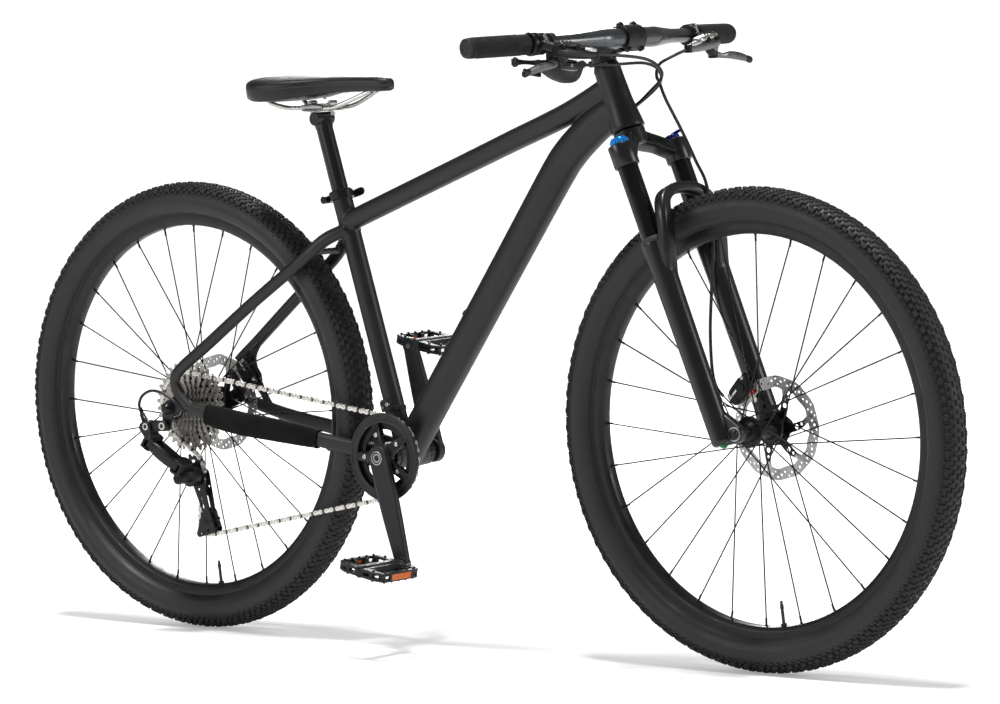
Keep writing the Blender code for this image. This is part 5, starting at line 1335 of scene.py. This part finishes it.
def derailleur_cage():
    """Two long plates joined at the pulleys' bolts: a broad top, a slotted neck and a wide drilled foot."""
    low = TENSION_PULLEY - GUIDE_PULLEY
    pivot = CAGE_PIVOT - GUIDE_PULLEY
    for name, y in (("outer", COG_Y - 7.5), ("inner", COG_Y + 7.5)):
        origin = Vector((GUIDE_PULLEY.x, y, GUIDE_PULLEY.z))
        plate = Piece(f"derailleur_cage_{name}_plate")
        spine = [
            (0, 0, 8.5), (pivot.x, pivot.z, 12.5 if name == "outer" else 9), (low.x - 15, low.z + 76, 10.5),
            (low.x - 10.5, low.z + 54, 9.5), (low.x - 4.5, low.z + 30, 7.4), (low.x - 1, low.z + 16, 7)]
        slot = band([(low.x - 10.5, low.z + 40, 1.6), (low.x - 6.2, low.z + 23, 1.6)], 6)
        plate.flat(
            [band(spine), slot, circle(1.9, 14, (low.x - 15, low.z + 53)),
             circle(1.9, 14, (low.x - 6, low.z + 57))],
            origin, 2, edge=0.3)
        foot = [
            (low.x + x, low.z + z, r)
            for x, z, r in ((1, 15, 7), (12.5, -12, 6.4), (-16.5, -20.5, 6), (-6, 8, 6.2))]
        dots = [
            circle(r, 14, (low.x + x, low.z + z))
            for x, z, r in ((3.5, -14, 2.2), (-12.5, -20.5, 1.6), (-6.5, -19.5, 1.6), (11, 3, 1.6))]
        inward = 0.4 if name == "outer" else -0.4
        plate.flat([band(foot)] + dots, origin - inward * Y, 2.7, edge=0.3)
        plate.place(
            "derailleur_cage", SATIN, slot="black_anodised", replaces="derailleur_cage"
            if name == "outer" else None, angle=30)
    bolts = Piece("derailleur_pulley_bolts")
    for centre in (GUIDE_PULLEY, TENSION_PULLEY):
        bolts.rod(centre - 8.5 * Y, centre + 8.5 * Y, 2.6, 16)
        bolts.disc(centre - 8.4 * Y, -Y, 0, 1, 6.6, 32)
        bolts.bolt(centre - 9 * Y, -Y, 4.2, 1.4)
    bolts.place("derailleur_cage", BLACK_STEEL)
    for name, centre in (("guide_pulley", GUIDE_PULLEY), ("tension_pulley", TENSION_PULLEY)):
        toothed = Piece(f"{name}_toothed")
        windows = [slot_hole(8.2, 12.5, TAU * i / 5, TAU * i / 5 + 0.75, 5) for i in range(5)]
        toothed.flat([sprocket(PULLEY_TEETH, 1, 4.6, 10), circle(3.4, 24)] + windows, centre, 2.6, edge=0.3)
        toothed.ring(centre, Y, -4, 4, 3.4, 6.8, 32)
        toothed.place(name, PLASTIC, replaces=name, slot="black_plastic", angle=30)


def shift_loop():
    """The last loop of shift housing, from the stay to the derailleur, and its end caps."""
    Piece("rear_shift_housing").tube(
        smooth_path(
            xyz(
                (-418, -72, 368), (-438, -77, 384), (-460, -80, 396), (-484, -81, 399), (-504, -81, 390),
                (-512, -81, 376), (-509, -80.6, 364)),
            8),
        2.4, 14, X).place("frame", HOSE)
    ends = Piece("rear_shift_housing_caps")
    ends.rod(Vector((-510.5, -80.6, 370)), Vector((-506, -80, 358)), 3.4, 16)
    ends.rod(Vector((-422, -72.8, 371.5)), Vector((-414, -71.2, 365)), 3.4, 16)
    ends.place("frame", SATIN)


# ---------------------------------------------------------------- brakes
def caliper(end, axle, rotor_y, turn, body):
    """A two-piston caliper astride the rotor: two boxy halves, pads with a coloured spacer, and bolts."""
    out = outward(turn)
    along = Vector((-out.z, 0, out.x))
    centre = axle + out * 83.5 + rotor_y * Y
    shell = Piece(f"{end}_caliper_body")
    for side, depth in ((1, 7), (-1, 9.2)):
        middle = centre + Y * side * (2.4 + depth / 2)
        shell.tube(
            [middle - along * 24.5, middle - along * 22.5, middle - along * 13, middle + along * 13,
             middle + along * 22.5, middle + along * 24.5],
            [(depth * 0.34, 7), (depth * 0.4, 9.6), (depth / 2, 14), (depth / 2, 14), (depth * 0.4, 9.6),
             (depth * 0.34, 7)],
            28, square=6)
    shell.block(centre + out * 12.5, (44, 6, 6), along, out)
    shell.place(body, BLACK_STEEL, replaces=f"{end}_caliper", slot="alloy", bevel=1)
    Piece(f"{end}_caliper_piston_cap").disc(
        centre - along * 5 - Y * 11.2, -Y, 0, 2.2, 7.8, 32, 0.6).place(body, BLACK_STEEL, bevel=0.5)
    plates = Piece(f"{end}_caliper_backing_plates")
    for side in (-1, 1):
        plates.block(centre + Y * side * 3 - out * 11, (40, 1.6, 10), along, out)
    plates.block(centre + along * 6 - Y * 12.2 + out * 3, (30, 1.6, 3.4), along, out)
    plates.place(body, STEEL, bevel=0.4)
    spacer = Piece(f"{end}_caliper_pads")
    for side in (-1, 1):
        spacer.block(centre - out * 4 + Y * side * 1.7, (30, 1, 20), along, out)
    spacer.block(centre - out * 15 - along * 12 - Y * 4.6, (8, 3, 9), along, out)
    spacer.place(body, ORANGE if end == "front" else BRUSHED, bevel=0.4)
    bolts = Piece(f"{end}_caliper_bolts")
    for step in (-19, 19):
        bolts.bolt(centre + along * step + out * 8 - Y * 10.5, -Y, 3, 2.2)
    bolts.place(body, STEEL)
    banjo = Piece(f"{end}_caliper_banjo")
    spot = centre + along * 26.5 + out * 5 + Y * 4
    banjo.rod(spot, centre + along * 15 + Y * 4, 4, 16)
    banjo.disc(spot, Y, -4, 4, 5.6, 24)
    banjo.place(body, SATIN)


cassette()
chain()
crank_arm(-1)
crank_arm(1)
chainset()
pedal(-1)
pedal(1)
derailleur()
caliper("front", FRONT_AXLE, 39.5, radians(138), "fork_lowers")
caliper("rear", REAR_AXLE, 52, radians(38), "frame")


# ---------------------------------------------------------------- fork
def fork_crown():
    """Steerer, forged crown with faceted arms, stanchion sleeves and stanchions."""
    crown = Piece("fork_crown_forging")
    crown.rod(steer_point(486), steer_point(657), 14.2, 40)
    crown.disc(steer_point(482), STEER_UP, 0, 27.5, 24.8, 56, 1.5)
    for side in (-1, 1):
        path = steer_points(
            (495, 2, 6), (488, 6, 20), (480, 13, 34), (470, 20, 46), (463, 24.5, 56), side=side)
        crown.curve(
            path, [(17.5, 13.8), (16, 12.8), (15, 11.2), (15.2, 11.2), (15.8, 12)], 28, STEER_FORWARD, 5,
            square=3.4)
        sleeve = steer_point(444, LEG_OFFSET, side * LEG_SIDE)
        crown.turned(
            [(0, 16.5), (0, 19.2), (1.2, 19.9), (34, 20.1), (35.8, 19.4), (35.8, 16.5)], sleeve, STEER_UP,
            56)
    crown.place("steering", GLOSS, replaces="fork_crown", slot="gloss_black", bevel=1)
    pockets = Piece("fork_crown_facets")
    for side in (-1, 1):
        path = steer_points((489.5, 22.5, 16), (480, 29, 32), (471, 35, 44), side=side)
        pockets.curve(path, [(1.2, 6), (1.6, 6.6), (1.2, 4.8)], 16, STEER_FORWARD, 6, square=3)
    pockets.place("steering", SATIN, bevel=0.3)
    tubes = Piece("stanchions")
    for side in (-1, 1):
        tubes.rod(
            steer_point(150, LEG_OFFSET, side * LEG_SIDE), steer_point(447, LEG_OFFSET, side * LEG_SIDE),
            STANCHION_RADIUS, 56)
    tubes.place("steering", STANCHION)


def preload_knob():
    """The ribbed preload knob on the right leg."""
    base = steer_point(480.3, LEG_OFFSET, -LEG_SIDE)
    knob = Piece("preload_knob_turned")
    knob.flat(
        [lobed(14.3, 0.5, 18, 144)], base + STEER_UP * 3.6, 6.6, normal=STEER_UP, right=STEER_FORWARD,
        edge=0.5)
    knob.turned(
        [(6.6, 0), (6.6, 13.4), (9, 12.8), (10.6, 11.2), (11, 9.4), (10.6, 4), (10.6, 0)], base, STEER_UP,
        56)
    knob.place("preload_knob", BLUE, replaces="preload_knob", slot="blue_anodised")
    Piece("preload_knob_centre").turned(
        [(10, 0), (10, 3.6), (11.4, 3.4), (11.8, 2.6), (11.8, 0)], base, STEER_UP,
        24).place("preload_knob", SATIN)


def lockout():
    """The lockout lever and its cap on the left leg."""
    base = steer_point(480.3, LEG_OFFSET, LEG_SIDE)
    dial = Piece("lockout_dial")
    dial.turned([(0, 0), (0, 12.4), (5.2, 12.5), (6.8, 11.2), (7.4, 6), (7.4, 0)], base, STEER_UP, 56)
    tip = base + STEER_FORWARD * 19.5 + STEER_UP * 8.8
    dial.curve(
        [base + STEER_FORWARD * -8 + STEER_UP * 7, base + STEER_FORWARD * 6 + STEER_UP * 7.8, tip],
        [(3.4, 2.2), (3.4, 2.5), (2.6, 2.2)], 16, Y, 6, square=3)
    dial.place("lockout_lever", DEEP_BLUE, replaces="lockout_lever", slot="blue_anodised", bevel=0.4)
    Piece("lockout_cap").turned(
        [(7.2, 0), (7.2, 5.2), (9, 4.8), (9.6, 3.6), (9.6, 0)], base, STEER_UP,
        32).place("lockout_lever", ALLOY)


def lowers():
    """Cast magnesium lowers: two legs, their dropouts and the arch, melted into one casting."""
    body = Piece("fork_lowers_casting")
    profile = [
        (-8, 0), (-8, 12.5), (-6.2, 15.8), (-3, 17.4), (40, 17.8), (150, 18.3), (230, 18.9), (262, 19.3),
        (288, 19.8), (305, 20.2), (314, 20.2), (319, 19.9), (321.5, 19), (321.5, 0)]
    for side in (-1, 1):
        body.turned(profile, steer_point(0, LEG_OFFSET, side * LEG_SIDE), STEER_UP, 64)
        plate = [(-3, 20, 6), (0, 51, 13.8), (18, 40, 13), (38, 28, 10)]
        outline = band([(f, s, r) for s, f, r in plate], 24)
        body.flat([outline], STEER_FOOT + Y * side * 59.2, 15, normal=Y, right=STEER_FORWARD, edge=1.4)
        arch = steer_points(
            (215, 23, 64), (245, 29, 64), (280, 37, 64), (306, 46, 64.2), (333, 54.5, 64), (357, 58, 61.5),
            (375, 58, 53.5), (385.5, 58, 40), (391.5, 57.5, 21), (393.5, 57.5, 0), side=side)
        body.curve(
            arch,
            [(5, 8), (8, 12), (9.8, 14.6), (10, 14.6), (10.4, 13.2), (10.8, 12), (11, 10.8), (10.6, 9.8),
             (10, 9), (9.8, 8.8)],
            24, STEER_FORWARD, 5, square=3.2)
        body.curve(
            steer_points((270, 33, 61), (295, 42, 56), (325, 50, 52), (356, 54, 48), side=side),
            [(4, 5), (4.2, 4.4), (4.2, 4), (4, 3.6)], 16, STEER_FORWARD, 5)
    made = body.place("fork_lowers", GLOSS, replaces="fork_lowers", slot="gloss_black")
    melt(made, 1.1, 6)
    seals = Piece("fork_seals")
    for side in (-1, 1):
        foot = steer_point(321.5, LEG_OFFSET, side * LEG_SIDE)
        seals.turned(
            [(-2, 16.3), (-2, 19.6), (2.2, 19.8), (3.4, 18.6), (5, 18.4), (6.4, 17.2), (6.4, 16.3)], foot,
            STEER_UP, 56)
    seals.place("fork_lowers", SEAL)
    rebound = Piece("rebound_bolt")
    foot = steer_point(-8, LEG_OFFSET, -LEG_SIDE)
    rebound.turned([(-2, 0), (-2, 6.8), (1.6, 6.8), (2.4, 6), (2.4, 0)], foot, -STEER_UP, 32)
    rebound.turned([(2, 0), (2, 4.4), (4.2, 4.2), (4.8, 3.4), (4.8, 0)], foot, -STEER_UP, 32)
    rebound.place("fork_lowers", DARK_GREEN)
    Piece("leg_foot_bolt").bolt(
        steer_point(-8, LEG_OFFSET, LEG_SIDE), -STEER_UP, 6, 3).place("fork_lowers", ALLOY)


def front_axle():
    """The axle's heads, each in a bright ring."""
    axle = Piece("front_axle_heads")
    for side in (-1, 1):
        out = Y * side
        axle.turned(
            [(64, 0), (64, 8.6), (72, 8.6), (73.8, 7.4), (74.2, 5.2), (72.2, 4.6), (72.2, 0)], FRONT_AXLE,
            out, 40)
    axle.place("fork_lowers", SATIN, replaces="front_axle", slot="black_steel")
    rings = Piece("front_axle_rings")
    for side in (-1, 1):
        rings.ring(FRONT_AXLE, Y * side, 66, 68.4, 8.7, 11.2, 48)
    rings.place("fork_lowers", ALLOY)


# ---------------------------------------------------------------- cockpit
def stem():
    """Stem body with its clamp bolts, faceplate with four bolts, and the spacers below."""
    reach = BAR_CENTRE - steer_point(640)
    body = Piece("stem_body")
    body.turned(
        [(621.5, 14.6), (621.5, 18.6), (622.5, 19.2), (657.5, 19.2), (658.5, 18.6), (658.5, 14.6)],
        STEER_FOOT, STEER_UP, 56)
    start = steer_point(640) + reach * 0.16
    end = BAR_CENTRE - reach * 0.16
    body.curve(
        [start, start.lerp(end, 0.3), start.lerp(end, 0.7), end],
        [(16.5, 15.8), (16, 14.5), (16, 14.8), (18.5, 17)], 32, Y, 5, square=2.8)
    back = [polar(20.6, radians(a)) for a in range(96, 265, 6)]
    front = [polar(16.2, radians(a)) for a in range(262, 97, -6)]
    body.flat([back + front], BAR_CENTRE, 44, normal=Y, right=STEER_FORWARD, edge=0.6)
    for side in (-1, 1):
        body.disc(steer_point(640 + side * 11, -21.5, 0), Y, -8.5, 8.5, 5.2, 24, 0.5)
    body.place("steering", SATIN, replaces="stem", slot="black_anodised", bevel=0.6)
    plate = Piece("stem_faceplate_arc")
    outer = [polar(20.8, radians(a)) for a in range(-82, 83, 4)]
    inner = [polar(16.2, radians(a)) for a in range(82, -83, -4)]
    plate.flat([outer + inner], BAR_CENTRE, 43, normal=Y, right=STEER_FORWARD, edge=0.8)
    for side in (-1, 1):
        for level in (-1, 1):
            spot = BAR_CENTRE + Y * side * 16 + STEER_UP * level * 19 + STEER_FORWARD * 4.5
            plate.disc(spot, STEER_FORWARD, -3, 4.2, 5.2, 24, 0.6)
    plate.place("steering", SATIN, replaces="stem_faceplate", slot="black_anodised", bevel=0.5)
    bolts = Piece("stem_bolts")
    for side in (-1, 1):
        for level in (-1, 1):
            spot = BAR_CENTRE + Y * side * 16 + STEER_UP * level * 19 + STEER_FORWARD * 8.6
            bolts.bolt(spot, STEER_FORWARD, 3.3, 1.8)
        bolts.bolt(steer_point(640 + side * 11, -21.5, -8.4), -Y, 3.3, 1.8)
    bolts.place("steering", BLACK_STEEL)
    spacers = Piece("headset_spacers")
    for low in (604, 613):
        spacers.ring(STEER_FOOT, STEER_UP, low, low + 8.2, 14.6, 17.8, 56, 0.6)
    spacers.place("steering", SATIN)


def handlebar():
    """Flat bar: thick in the middle, tapered and swept to its ends."""
    bar = Piece("handlebar_tube")
    reaches = [
        -BAR_HALF, -250, -170, -130, -105, -85, -70, -60, -40, 0, 40, 60, 70, 85, 105, 130, 170, 250,
        BAR_HALF]
    radii = {
        BAR_HALF: 11.1, 250: 11.1, 170: 11.1, 130: 11.1, 105: 12.4, 85: 14, 70: 15.3, 60: 15.9, 40: 15.9,
        0: 15.9}
    bar.tube(
        smooth_path([bar_point(y) for y in reaches], 3),
        smooth_numbers([radii[abs(y)] for y in reaches], 3), 48, STEER_FORWARD)
    bar.place("steering", BAR_BLACK, replaces="handlebar", slot="black_anodised")


def grip(side):
    """A grip with slanting ribs, smooth ends and an angled line at each end."""
    word = "right" if side < 0 else "left"
    near = bar_point(side * (GRIP_INNER + 1))
    far = bar_point(side * (BAR_HALF + 1.2))
    axis = (far - near).normalized()
    length = (far - near).length
    start = STEER_FORWARD - axis * STEER_FORWARD.dot(axis)
    start.normalize()
    other = axis.cross(start)
    rows, sides = 240, 96
    piece = Piece(f"grip_{word}_sleeve")
    rings = []
    for i in range(rows + 1):
        along = length * i / rows
        ring = []
        for k in range(sides):
            turn = TAU * k / sides
            slant = 10 * cos(turn)
            body = 15.8
            low, high = 16 + slant, length - 14 + slant
            if low < along < high:
                rib = 0.5 + 0.5 * cos(TAU * (along / 4.8 - 2 * turn / TAU))
                body += 0.75 * min(1, rib * 1.7) - 0.2
            elif abs(along - low) < 1.2 or abs(along - high) < 1.2:
                body -= 0.6
            if along < 1.5 or along > length - 1.5:
                body -= 0.8
            ring.append(near + axis * along + (start * cos(turn) + other * sin(turn)) * body)
        rings.append(ring)
    piece.skin(rings)
    piece.place("steering", GRIP, replaces=f"grip_{word}", slot="rubber", clean=False, angle=80)
    Piece(f"grip_{word}_end_cap").turned(
        [(-5, 0), (-5, 14.5), (0.4, 15.2), (1.6, 14.8), (2.4, 12.8), (2.6, 9), (1.8, 8), (1.8, 0)], far,
        axis, 48).place("steering", PLASTIC)
    collar = Piece(f"grip_{word}_collar")
    for where in (15, length - 13):
        ring_path = []
        for k in range(64):
            turn = TAU * k / 64
            along = where + 10 * cos(turn)
            ring_path.append(near + axis * along + (start * cos(turn) + other * sin(turn)) * 15.7)
        collar.tube(ring_path, 0.6, 8, axis, closed=True)
    collar.place("steering", SEAL)


def brake_lever(side):
    """Master cylinder slanting forward from its clamp, with the reservoir, banjo and the bent blade."""
    word = "right" if side < 0 else "left"

    def at(y, ahead, above):
        return bar_point(side * y, ahead, above)

    clamp = Piece(f"brake_{word}_clamp")
    centre, axis = bar_point(side * 186), bar_direction(side)
    clamp.ring(centre, axis, -7.5, 7.5, 11.2, 17.2, 56, 1.2)
    clamp.ring(centre, axis, 9.5, 19, 11.2, 18.2, 56, 1.6)
    clamp.curve(
        [at(188, 12, -1), at(186, 26, -5), at(182, 40, -10.5)], [(7.5, 8.5), (7, 7.5), (8.5, 7.5)], 20, Z,
        6, square=2.6)
    clamp.place("steering", SATIN, replaces=f"brake_lever_{word}_body", slot="black_anodised", bevel=0.4)
    body = Piece(f"brake_{word}_master_cylinder")
    body.curve(
        [at(117, 38.4, -20.2), at(126, 39.2, -19.4), at(142, 40.8, -17.2), at(164, 43, -14.8),
         at(186, 44.8, -12.5), at(198.5, 45.6, -11.8)],
        [6, 7.2, 8.8, 9.6, 9.8, 8], 28, X, 6, square=2.3)
    body.curve(
        [at(182, 44, -15), at(190, 44, -18.5), at(193, 43, -22.5)], [8, 8.2, 7.4], 20, X, 6, square=2.6)
    # Painted reflection: the left body is brighter grey metal and the right one satin black, though they
    # are the same part.
    body.place("steering", LEVER_GREY if side > 0 else SATIN, slot="alloy", bevel=0.4)
    # Painted reflection: the left reservoir is bright steel and the right one black plastic, though they
    # are the same part.
    Piece(f"brake_{word}_reservoir").curve(
        [at(140, 40, -8), at(148, 40.8, -6.6), at(176, 43.5, -2.2), at(196, 45, -0.6)],
        [(6, 3), (9.2, 4), (9.4, 4.4), (5.6, 3.4)], 20, X, 6,
        square=3.6).place("steering", STEEL if side > 0 else PLASTIC, bevel=0.5)
    caps = Piece(f"brake_{word}_dark_fittings")
    for y, ahead, above, radius in ((162, 50, -8, 5.2), (188, 53, -6, 4.4)):
        caps.disc(at(y, ahead, above), STEER_FORWARD, -4, 3.6, radius, 28, 0.8)
    for y in (166, 174, 182, 190):
        caps.disc(at(y, 40 + 0.09 * (y - 140), -3 + 0.1 * (y - 140)), Z, -3, 3.6, 1.8, 14)
    caps.turned([(-6, 0), (-6, 6.2), (5, 6.4), (6.2, 5), (6.2, 0)], at(115, 38.2, -20.6), Z, 28)
    caps.disc(at(192, 42.5, -29), Z, -7.5, 7, 7.8, 32, 1)
    caps.curve([at(176, 42, -20), at(183, 43, -25), at(190, 43, -28.5)], [6.6, 7.2, 6.6], 18, X, 5)
    caps.place("steering", BLACK_STEEL)
    trim = Piece(f"brake_{word}_trim")
    trim.curve(
        [at(118, 43.6, -14), at(130, 46, -11.8), at(144, 47.8, -10)], [(2.4, 1.1), (3.4, 1.4), (2.4, 1.1)],
        12, Z, 6, square=2.6)
    trim.curve([at(147, 48.8, -4), at(170, 51, -1), at(193, 51.2, 1)], [0.5, 0.8, 0.5], 8, X)
    trim.disc(centre + STEER_FORWARD * 16.5, STEER_UP, -6.5, 8, 3, 16)
    trim.place("steering", STEEL)
    lever_blade(word, at)


def lever_blade(word, at):
    """The blade: a slim knuckle that widens into a tall finger rest and ends in a round tip."""
    pivot = at(190, 42, -29)
    body = f"brake_lever_{word}_blade"
    blade = Piece(f"brake_{word}_blade")
    points = [
        pivot, at(200, 46, -31), at(210, 50.5, -33), at(218, 54.5, -32.5), at(229, 57.5, -32.5),
        at(250, 62, -35), at(268, 65, -38.5)]
    blade.curve(
        points, [(5.6, 5), (5, 4.2), (4.2, 3.4), (5, 3), (6.2, 2.8), (6.2, 2.6), (5.2, 2.6)], 28, Z, 6,
        square=2.5)
    blade.place(body, LEVER_GREY, replaces=body, slot="black_anodised", bevel=0.3)
    Piece(f"brake_{word}_blade_tip").curve(
        [at(266, 64.7, -38.1), at(274, 66, -40), at(280, 67.2, -41.4), at(282.5, 67.7, -42)],
        [(5, 2.8), (5.6, 3.8), (5.2, 3.6), (2.6, 2.2)], 28, Z, 6, square=2.1).place(body, SATIN, bevel=0.3)
    Piece(f"brake_{word}_blade_pin").disc(pivot, Z, -6.4, 5.6, 3, 20).place(body, STEEL)


def shifter():
    """The shift pod under the right side of the bar, its clamp, barrel adjuster and two paddles."""

    def at(y, ahead, above):
        return bar_point(-y, ahead, above)

    pod = Piece("shifter_pod")
    pod.ring(bar_point(-164), bar_direction(-1), -5, 5, 11.2, 15.5, 48, 0.8)
    pod.curve(
        [at(185, -2, -29), at(172, 0, -34.5), at(152, 4, -43), at(136, 8, -45.5), at(122, 8, -39),
         at(113, 6, -35.5)],
        [(9.5, 4.5), (16.5, 9.5), (19, 15), (16, 16.5), (11, 10), (6, 5.2)], 32, X, 6, square=3)
    pod.curve(
        [at(164, 0, -14), at(162, -1, -23), at(160, -1, -30)], [(6, 5.2), (7, 6), (8, 7)], 16, X, 5,
        square=2.6)
    pod.place("steering", PLASTIC, replaces="shifter_body", slot="black_plastic", bevel=0.4)
    Piece("shifter_cover").curve(
        [at(170, 4, -26.2), at(149, 8, -27.6), at(128, 10, -30)], [(8.5, 2), (12, 3), (8, 2)], 20, X, 6,
        square=3).place("steering", SATIN, bevel=0.3)
    Piece("shifter_seam").curve(
        [at(178, 15, -34), at(160, 22, -40.5), at(140, 23.8, -43), at(124, 18, -40)], [0.6, 0.9, 0.9, 0.6],
        8, Z).place("steering", ALLOY)
    barrel = Piece("shifter_barrel_adjuster")
    start, end = at(118, 6, -36.2), at(102, 5, -35.2)
    barrel.rod(start, end, 3.4, 20)
    direction = (end - start).normalized()
    barrel.flat(
        [lobed(5.8, 0.5, 12, 96)], start.lerp(end, 0.5), 9, normal=direction, right=STEER_UP, edge=0.5)
    barrel.place("steering", PLASTIC)
    screws = Piece("shifter_screws")
    screws.bolt(at(164, 15, -1), STEER_FORWARD, 2.8, 1.6)
    screws.bolt(at(145, 21.5, -35), X, 2.6, 2.2)
    screws.place("steering", STEEL)
    paddle = Piece("shift_paddle_arm")
    paddle.curve(
        [at(156, -29, -30), at(170, -30, -29), at(185, -30, -27.6), at(198, -28.5, -26.8)],
        [(5.2, 3.4), (3.6, 3.2), (3.4, 3), (4.6, 3)], 20, Z, 5, square=2.6)
    pad_out = Vector((-0.55, -0.8, 0.1)).normalized()
    pad = at(203, -28, -26.6)
    paddle.turned([(-4, 0), (-3.6, 6), (0.4, 7.8), (2.8, 7.6), (4, 6.2), (3.6, 0)], pad, pad_out, 36)
    across = pad_out.cross(Z).normalized()
    for i in range(-2, 3):
        paddle.block(pad + pad_out * 4.4 + across * i * 2.6, (1.1, 1.4, 10), across, Z)
    paddle.place("shift_paddle", PLASTIC, replaces="shift_paddle", slot="black_plastic", bevel=0.3)
    Piece("release_paddle_arm").curve(
        [at(156, -29, -48), at(172, -29, -45.5), at(186, -25, -42), at(193, -21.5, -40)],
        [(4.2, 3.4), (3.4, 3), (4.6, 3), (3.4, 2.6)], 20, Z, 5,
        square=2.6).place(
            "release_paddle", SATIN, replaces="release_paddle", slot="black_plastic", bevel=0.3)


# ---------------------------------------------------------------- hoses
def hoses():
    """Two brake hoses and the shift housing, and the rear hose's stretch along the stay."""
    lines = {
        "front_brake_hose": (
            [bar_point(114, 38, -20.8),
             *xyz((497.5, 85, 934.5), (486, 68, 924.5), (483, 62, 914.2), (484.5, 59, 903)),
             *steer_points(
                 (569, 43.5, 57), (540, 46, 55), (485, 60, 48), (430, 68, 46), (385, 73.5, 44),
                 (310, 56, 40), (240, 22, 39.5), (180, -8, 40), (125, -29, 40.5), (98, -33.5, 42),
                 (80, -29, 45))],
            2.5),
        "rear_brake_hose": (
            [bar_point(-114, 38, -20.8),
             *xyz(
                 (515, -70, 941), (523, -30, 936), (526.5, -8, 930), (526, 12, 920), (521, 26, 908.5),
                 (507, 35, 896), (485, 41, 882), (463, 42, 865.5), (438, 37, 849), (418, 32, 836))],
            2.5),
        "shift_housing": (
            [bar_point(-115, 4, -36),
             *xyz(
                 (485, -60, 926.5), (490, -28, 927), (504, 1, 927), (510.5, 22, 920.5), (509, 36, 911),
                 (503, 46, 899), (487, 52, 885.5), (466, 53, 871), (442, 48, 853), (418, 40, 830),
                 (402, 33, 816))],
            2.4),}
    for name, (points, radius) in lines.items():
        Piece(f"{name}_line").tube(smooth_path(points, 6), radius, 16, X).place(
            "steering", HOSE, replaces=name, slot="rubber")
    Piece("rear_brake_hose_stay_line").tube(
        smooth_path(
            xyz(
                (-30, 40, 296), (-90, 52, 302), (-200, 64, 314), (-300, 75, 329), (-350, 76, 350),
                (-372, 66, 385), (-385, 60, 408)),
            8),
        2.5, 14, X).place("frame", HOSE)


fork_crown()
preload_knob()
lockout()
lowers()
front_axle()
stem()
handlebar()
for side in (-1, 1):
    grip(side)
    brake_lever(side)
shifter()
hoses()


# ---------------------------------------------------------------- stage
FLOOR_LIFT = 0.30
WORLD_LIGHT = 0.16


def floor():
    """A white studio sweep, full bright to the camera only, so it doesn't light the bike from below."""
    bm = bmesh.new()
    bmesh.ops.create_grid(bm, x_segments=1, y_segments=1, size=60)
    mesh = bpy.data.meshes.new("floor")
    bm.to_mesh(mesh)
    bm.free()
    made = bpy.data.objects.new("floor", mesh)
    made.location.z = -0.0005
    bpy.context.scene.collection.objects.link(made)
    look = bpy.data.materials.new("floor_white")
    look.use_nodes = True
    nodes, links = look.node_tree.nodes, look.node_tree.links
    shader = nodes["Principled BSDF"]
    shader.inputs["Base Color"].default_value = (0.80, 0.80, 0.80, 1)
    shader.inputs["Roughness"].default_value = 1.0
    shader.inputs["Specular IOR Level"].default_value = 0.0
    shader.inputs["Emission Color"].default_value = (1, 1, 1, 1)
    seen = nodes.new("ShaderNodeLightPath")
    lift = nodes.new("ShaderNodeMath")
    lift.operation = "MULTIPLY"
    lift.inputs[1].default_value = FLOOR_LIFT
    links.new(seen.outputs["Is Camera Ray"], lift.inputs[0])
    links.new(lift.outputs["Value"], shader.inputs["Emission Strength"])
    mesh.materials.append(look)


def area_light(name, place, target, size, power):
    data = bpy.data.lights.new(name, "AREA")
    data.shape = "RECTANGLE"
    data.size, data.size_y = size
    data.energy = power
    made = bpy.data.objects.new(name, data)
    bpy.context.scene.collection.objects.link(made)
    made.location = place
    made.rotation_euler = (Vector(target) - Vector(place)).to_track_quat("-Z", "Y").to_euler()


def lights():
    """A broad high sun, soft boxes at the rear right and front left, a strip behind and a dim world."""
    data = bpy.data.lights.new("high_sun", "SUN")
    data.energy = 2.9
    data.angle = radians(9)
    sun = bpy.data.objects.new("high_sun", data)
    bpy.context.scene.collection.objects.link(sun)
    sun.rotation_euler = Vector((-0.02, 0.06, -1.0)).to_track_quat("-Z", "Y").to_euler()
    area_light("key", (-2.2, -4.6, 2.6), (0, 0, 0.5), (2.4, 1.6), 72)
    area_light("front_box", (4.2, 2.0, 1.9), (0.1, 0, 0.5), (1.6, 1.6), 50)
    area_light("back_strip", (-2.6, 3.2, 2.2), (0, 0, 0.6), (0.8, 3.0), 80)
    world = bpy.data.worlds.new("studio")
    world.use_nodes = True
    nodes, links = world.node_tree.nodes, world.node_tree.links
    seen = nodes.new("ShaderNodeLightPath")
    level = nodes.new("ShaderNodeMapRange")
    level.inputs["To Min"].default_value = WORLD_LIGHT
    level.inputs["To Max"].default_value = 1.0
    links.new(seen.outputs["Is Camera Ray"], level.inputs["Value"])
    nodes["Background"].inputs["Color"].default_value = (1, 1, 1, 1)
    links.new(level.outputs["Result"], nodes["Background"].inputs["Strength"])
    bpy.context.scene.world = world
    bpy.context.scene.view_settings.view_transform = "Standard"


def camera():
    """A long lens from ahead and to the right, low, with a slight roll."""
    place = Vector((5.400, -6.205, 1.1268)) + SHIFT
    azimuth, elevation, roll = radians(39.958), radians(4.603), radians(-1.841)
    back = Vector((sin(azimuth) * cos(elevation), -cos(azimuth) * cos(elevation), sin(elevation)))
    right = (-back).cross(Z).normalized()
    up = right.cross(-back)
    level = right * cos(roll) + up * sin(roll)
    upright = up * cos(roll) - right * sin(roll)
    data = bpy.data.cameras.new("camera")
    data.sensor_width = 36
    data.lens = 185.72
    made = bpy.data.objects.new("camera", data)
    bpy.context.scene.collection.objects.link(made)
    made.matrix_world = Matrix.Translation(place) @ Matrix((level, upright, back)).transposed().to_4x4()
    bpy.context.scene.camera = made


floor()
lights()
camera()
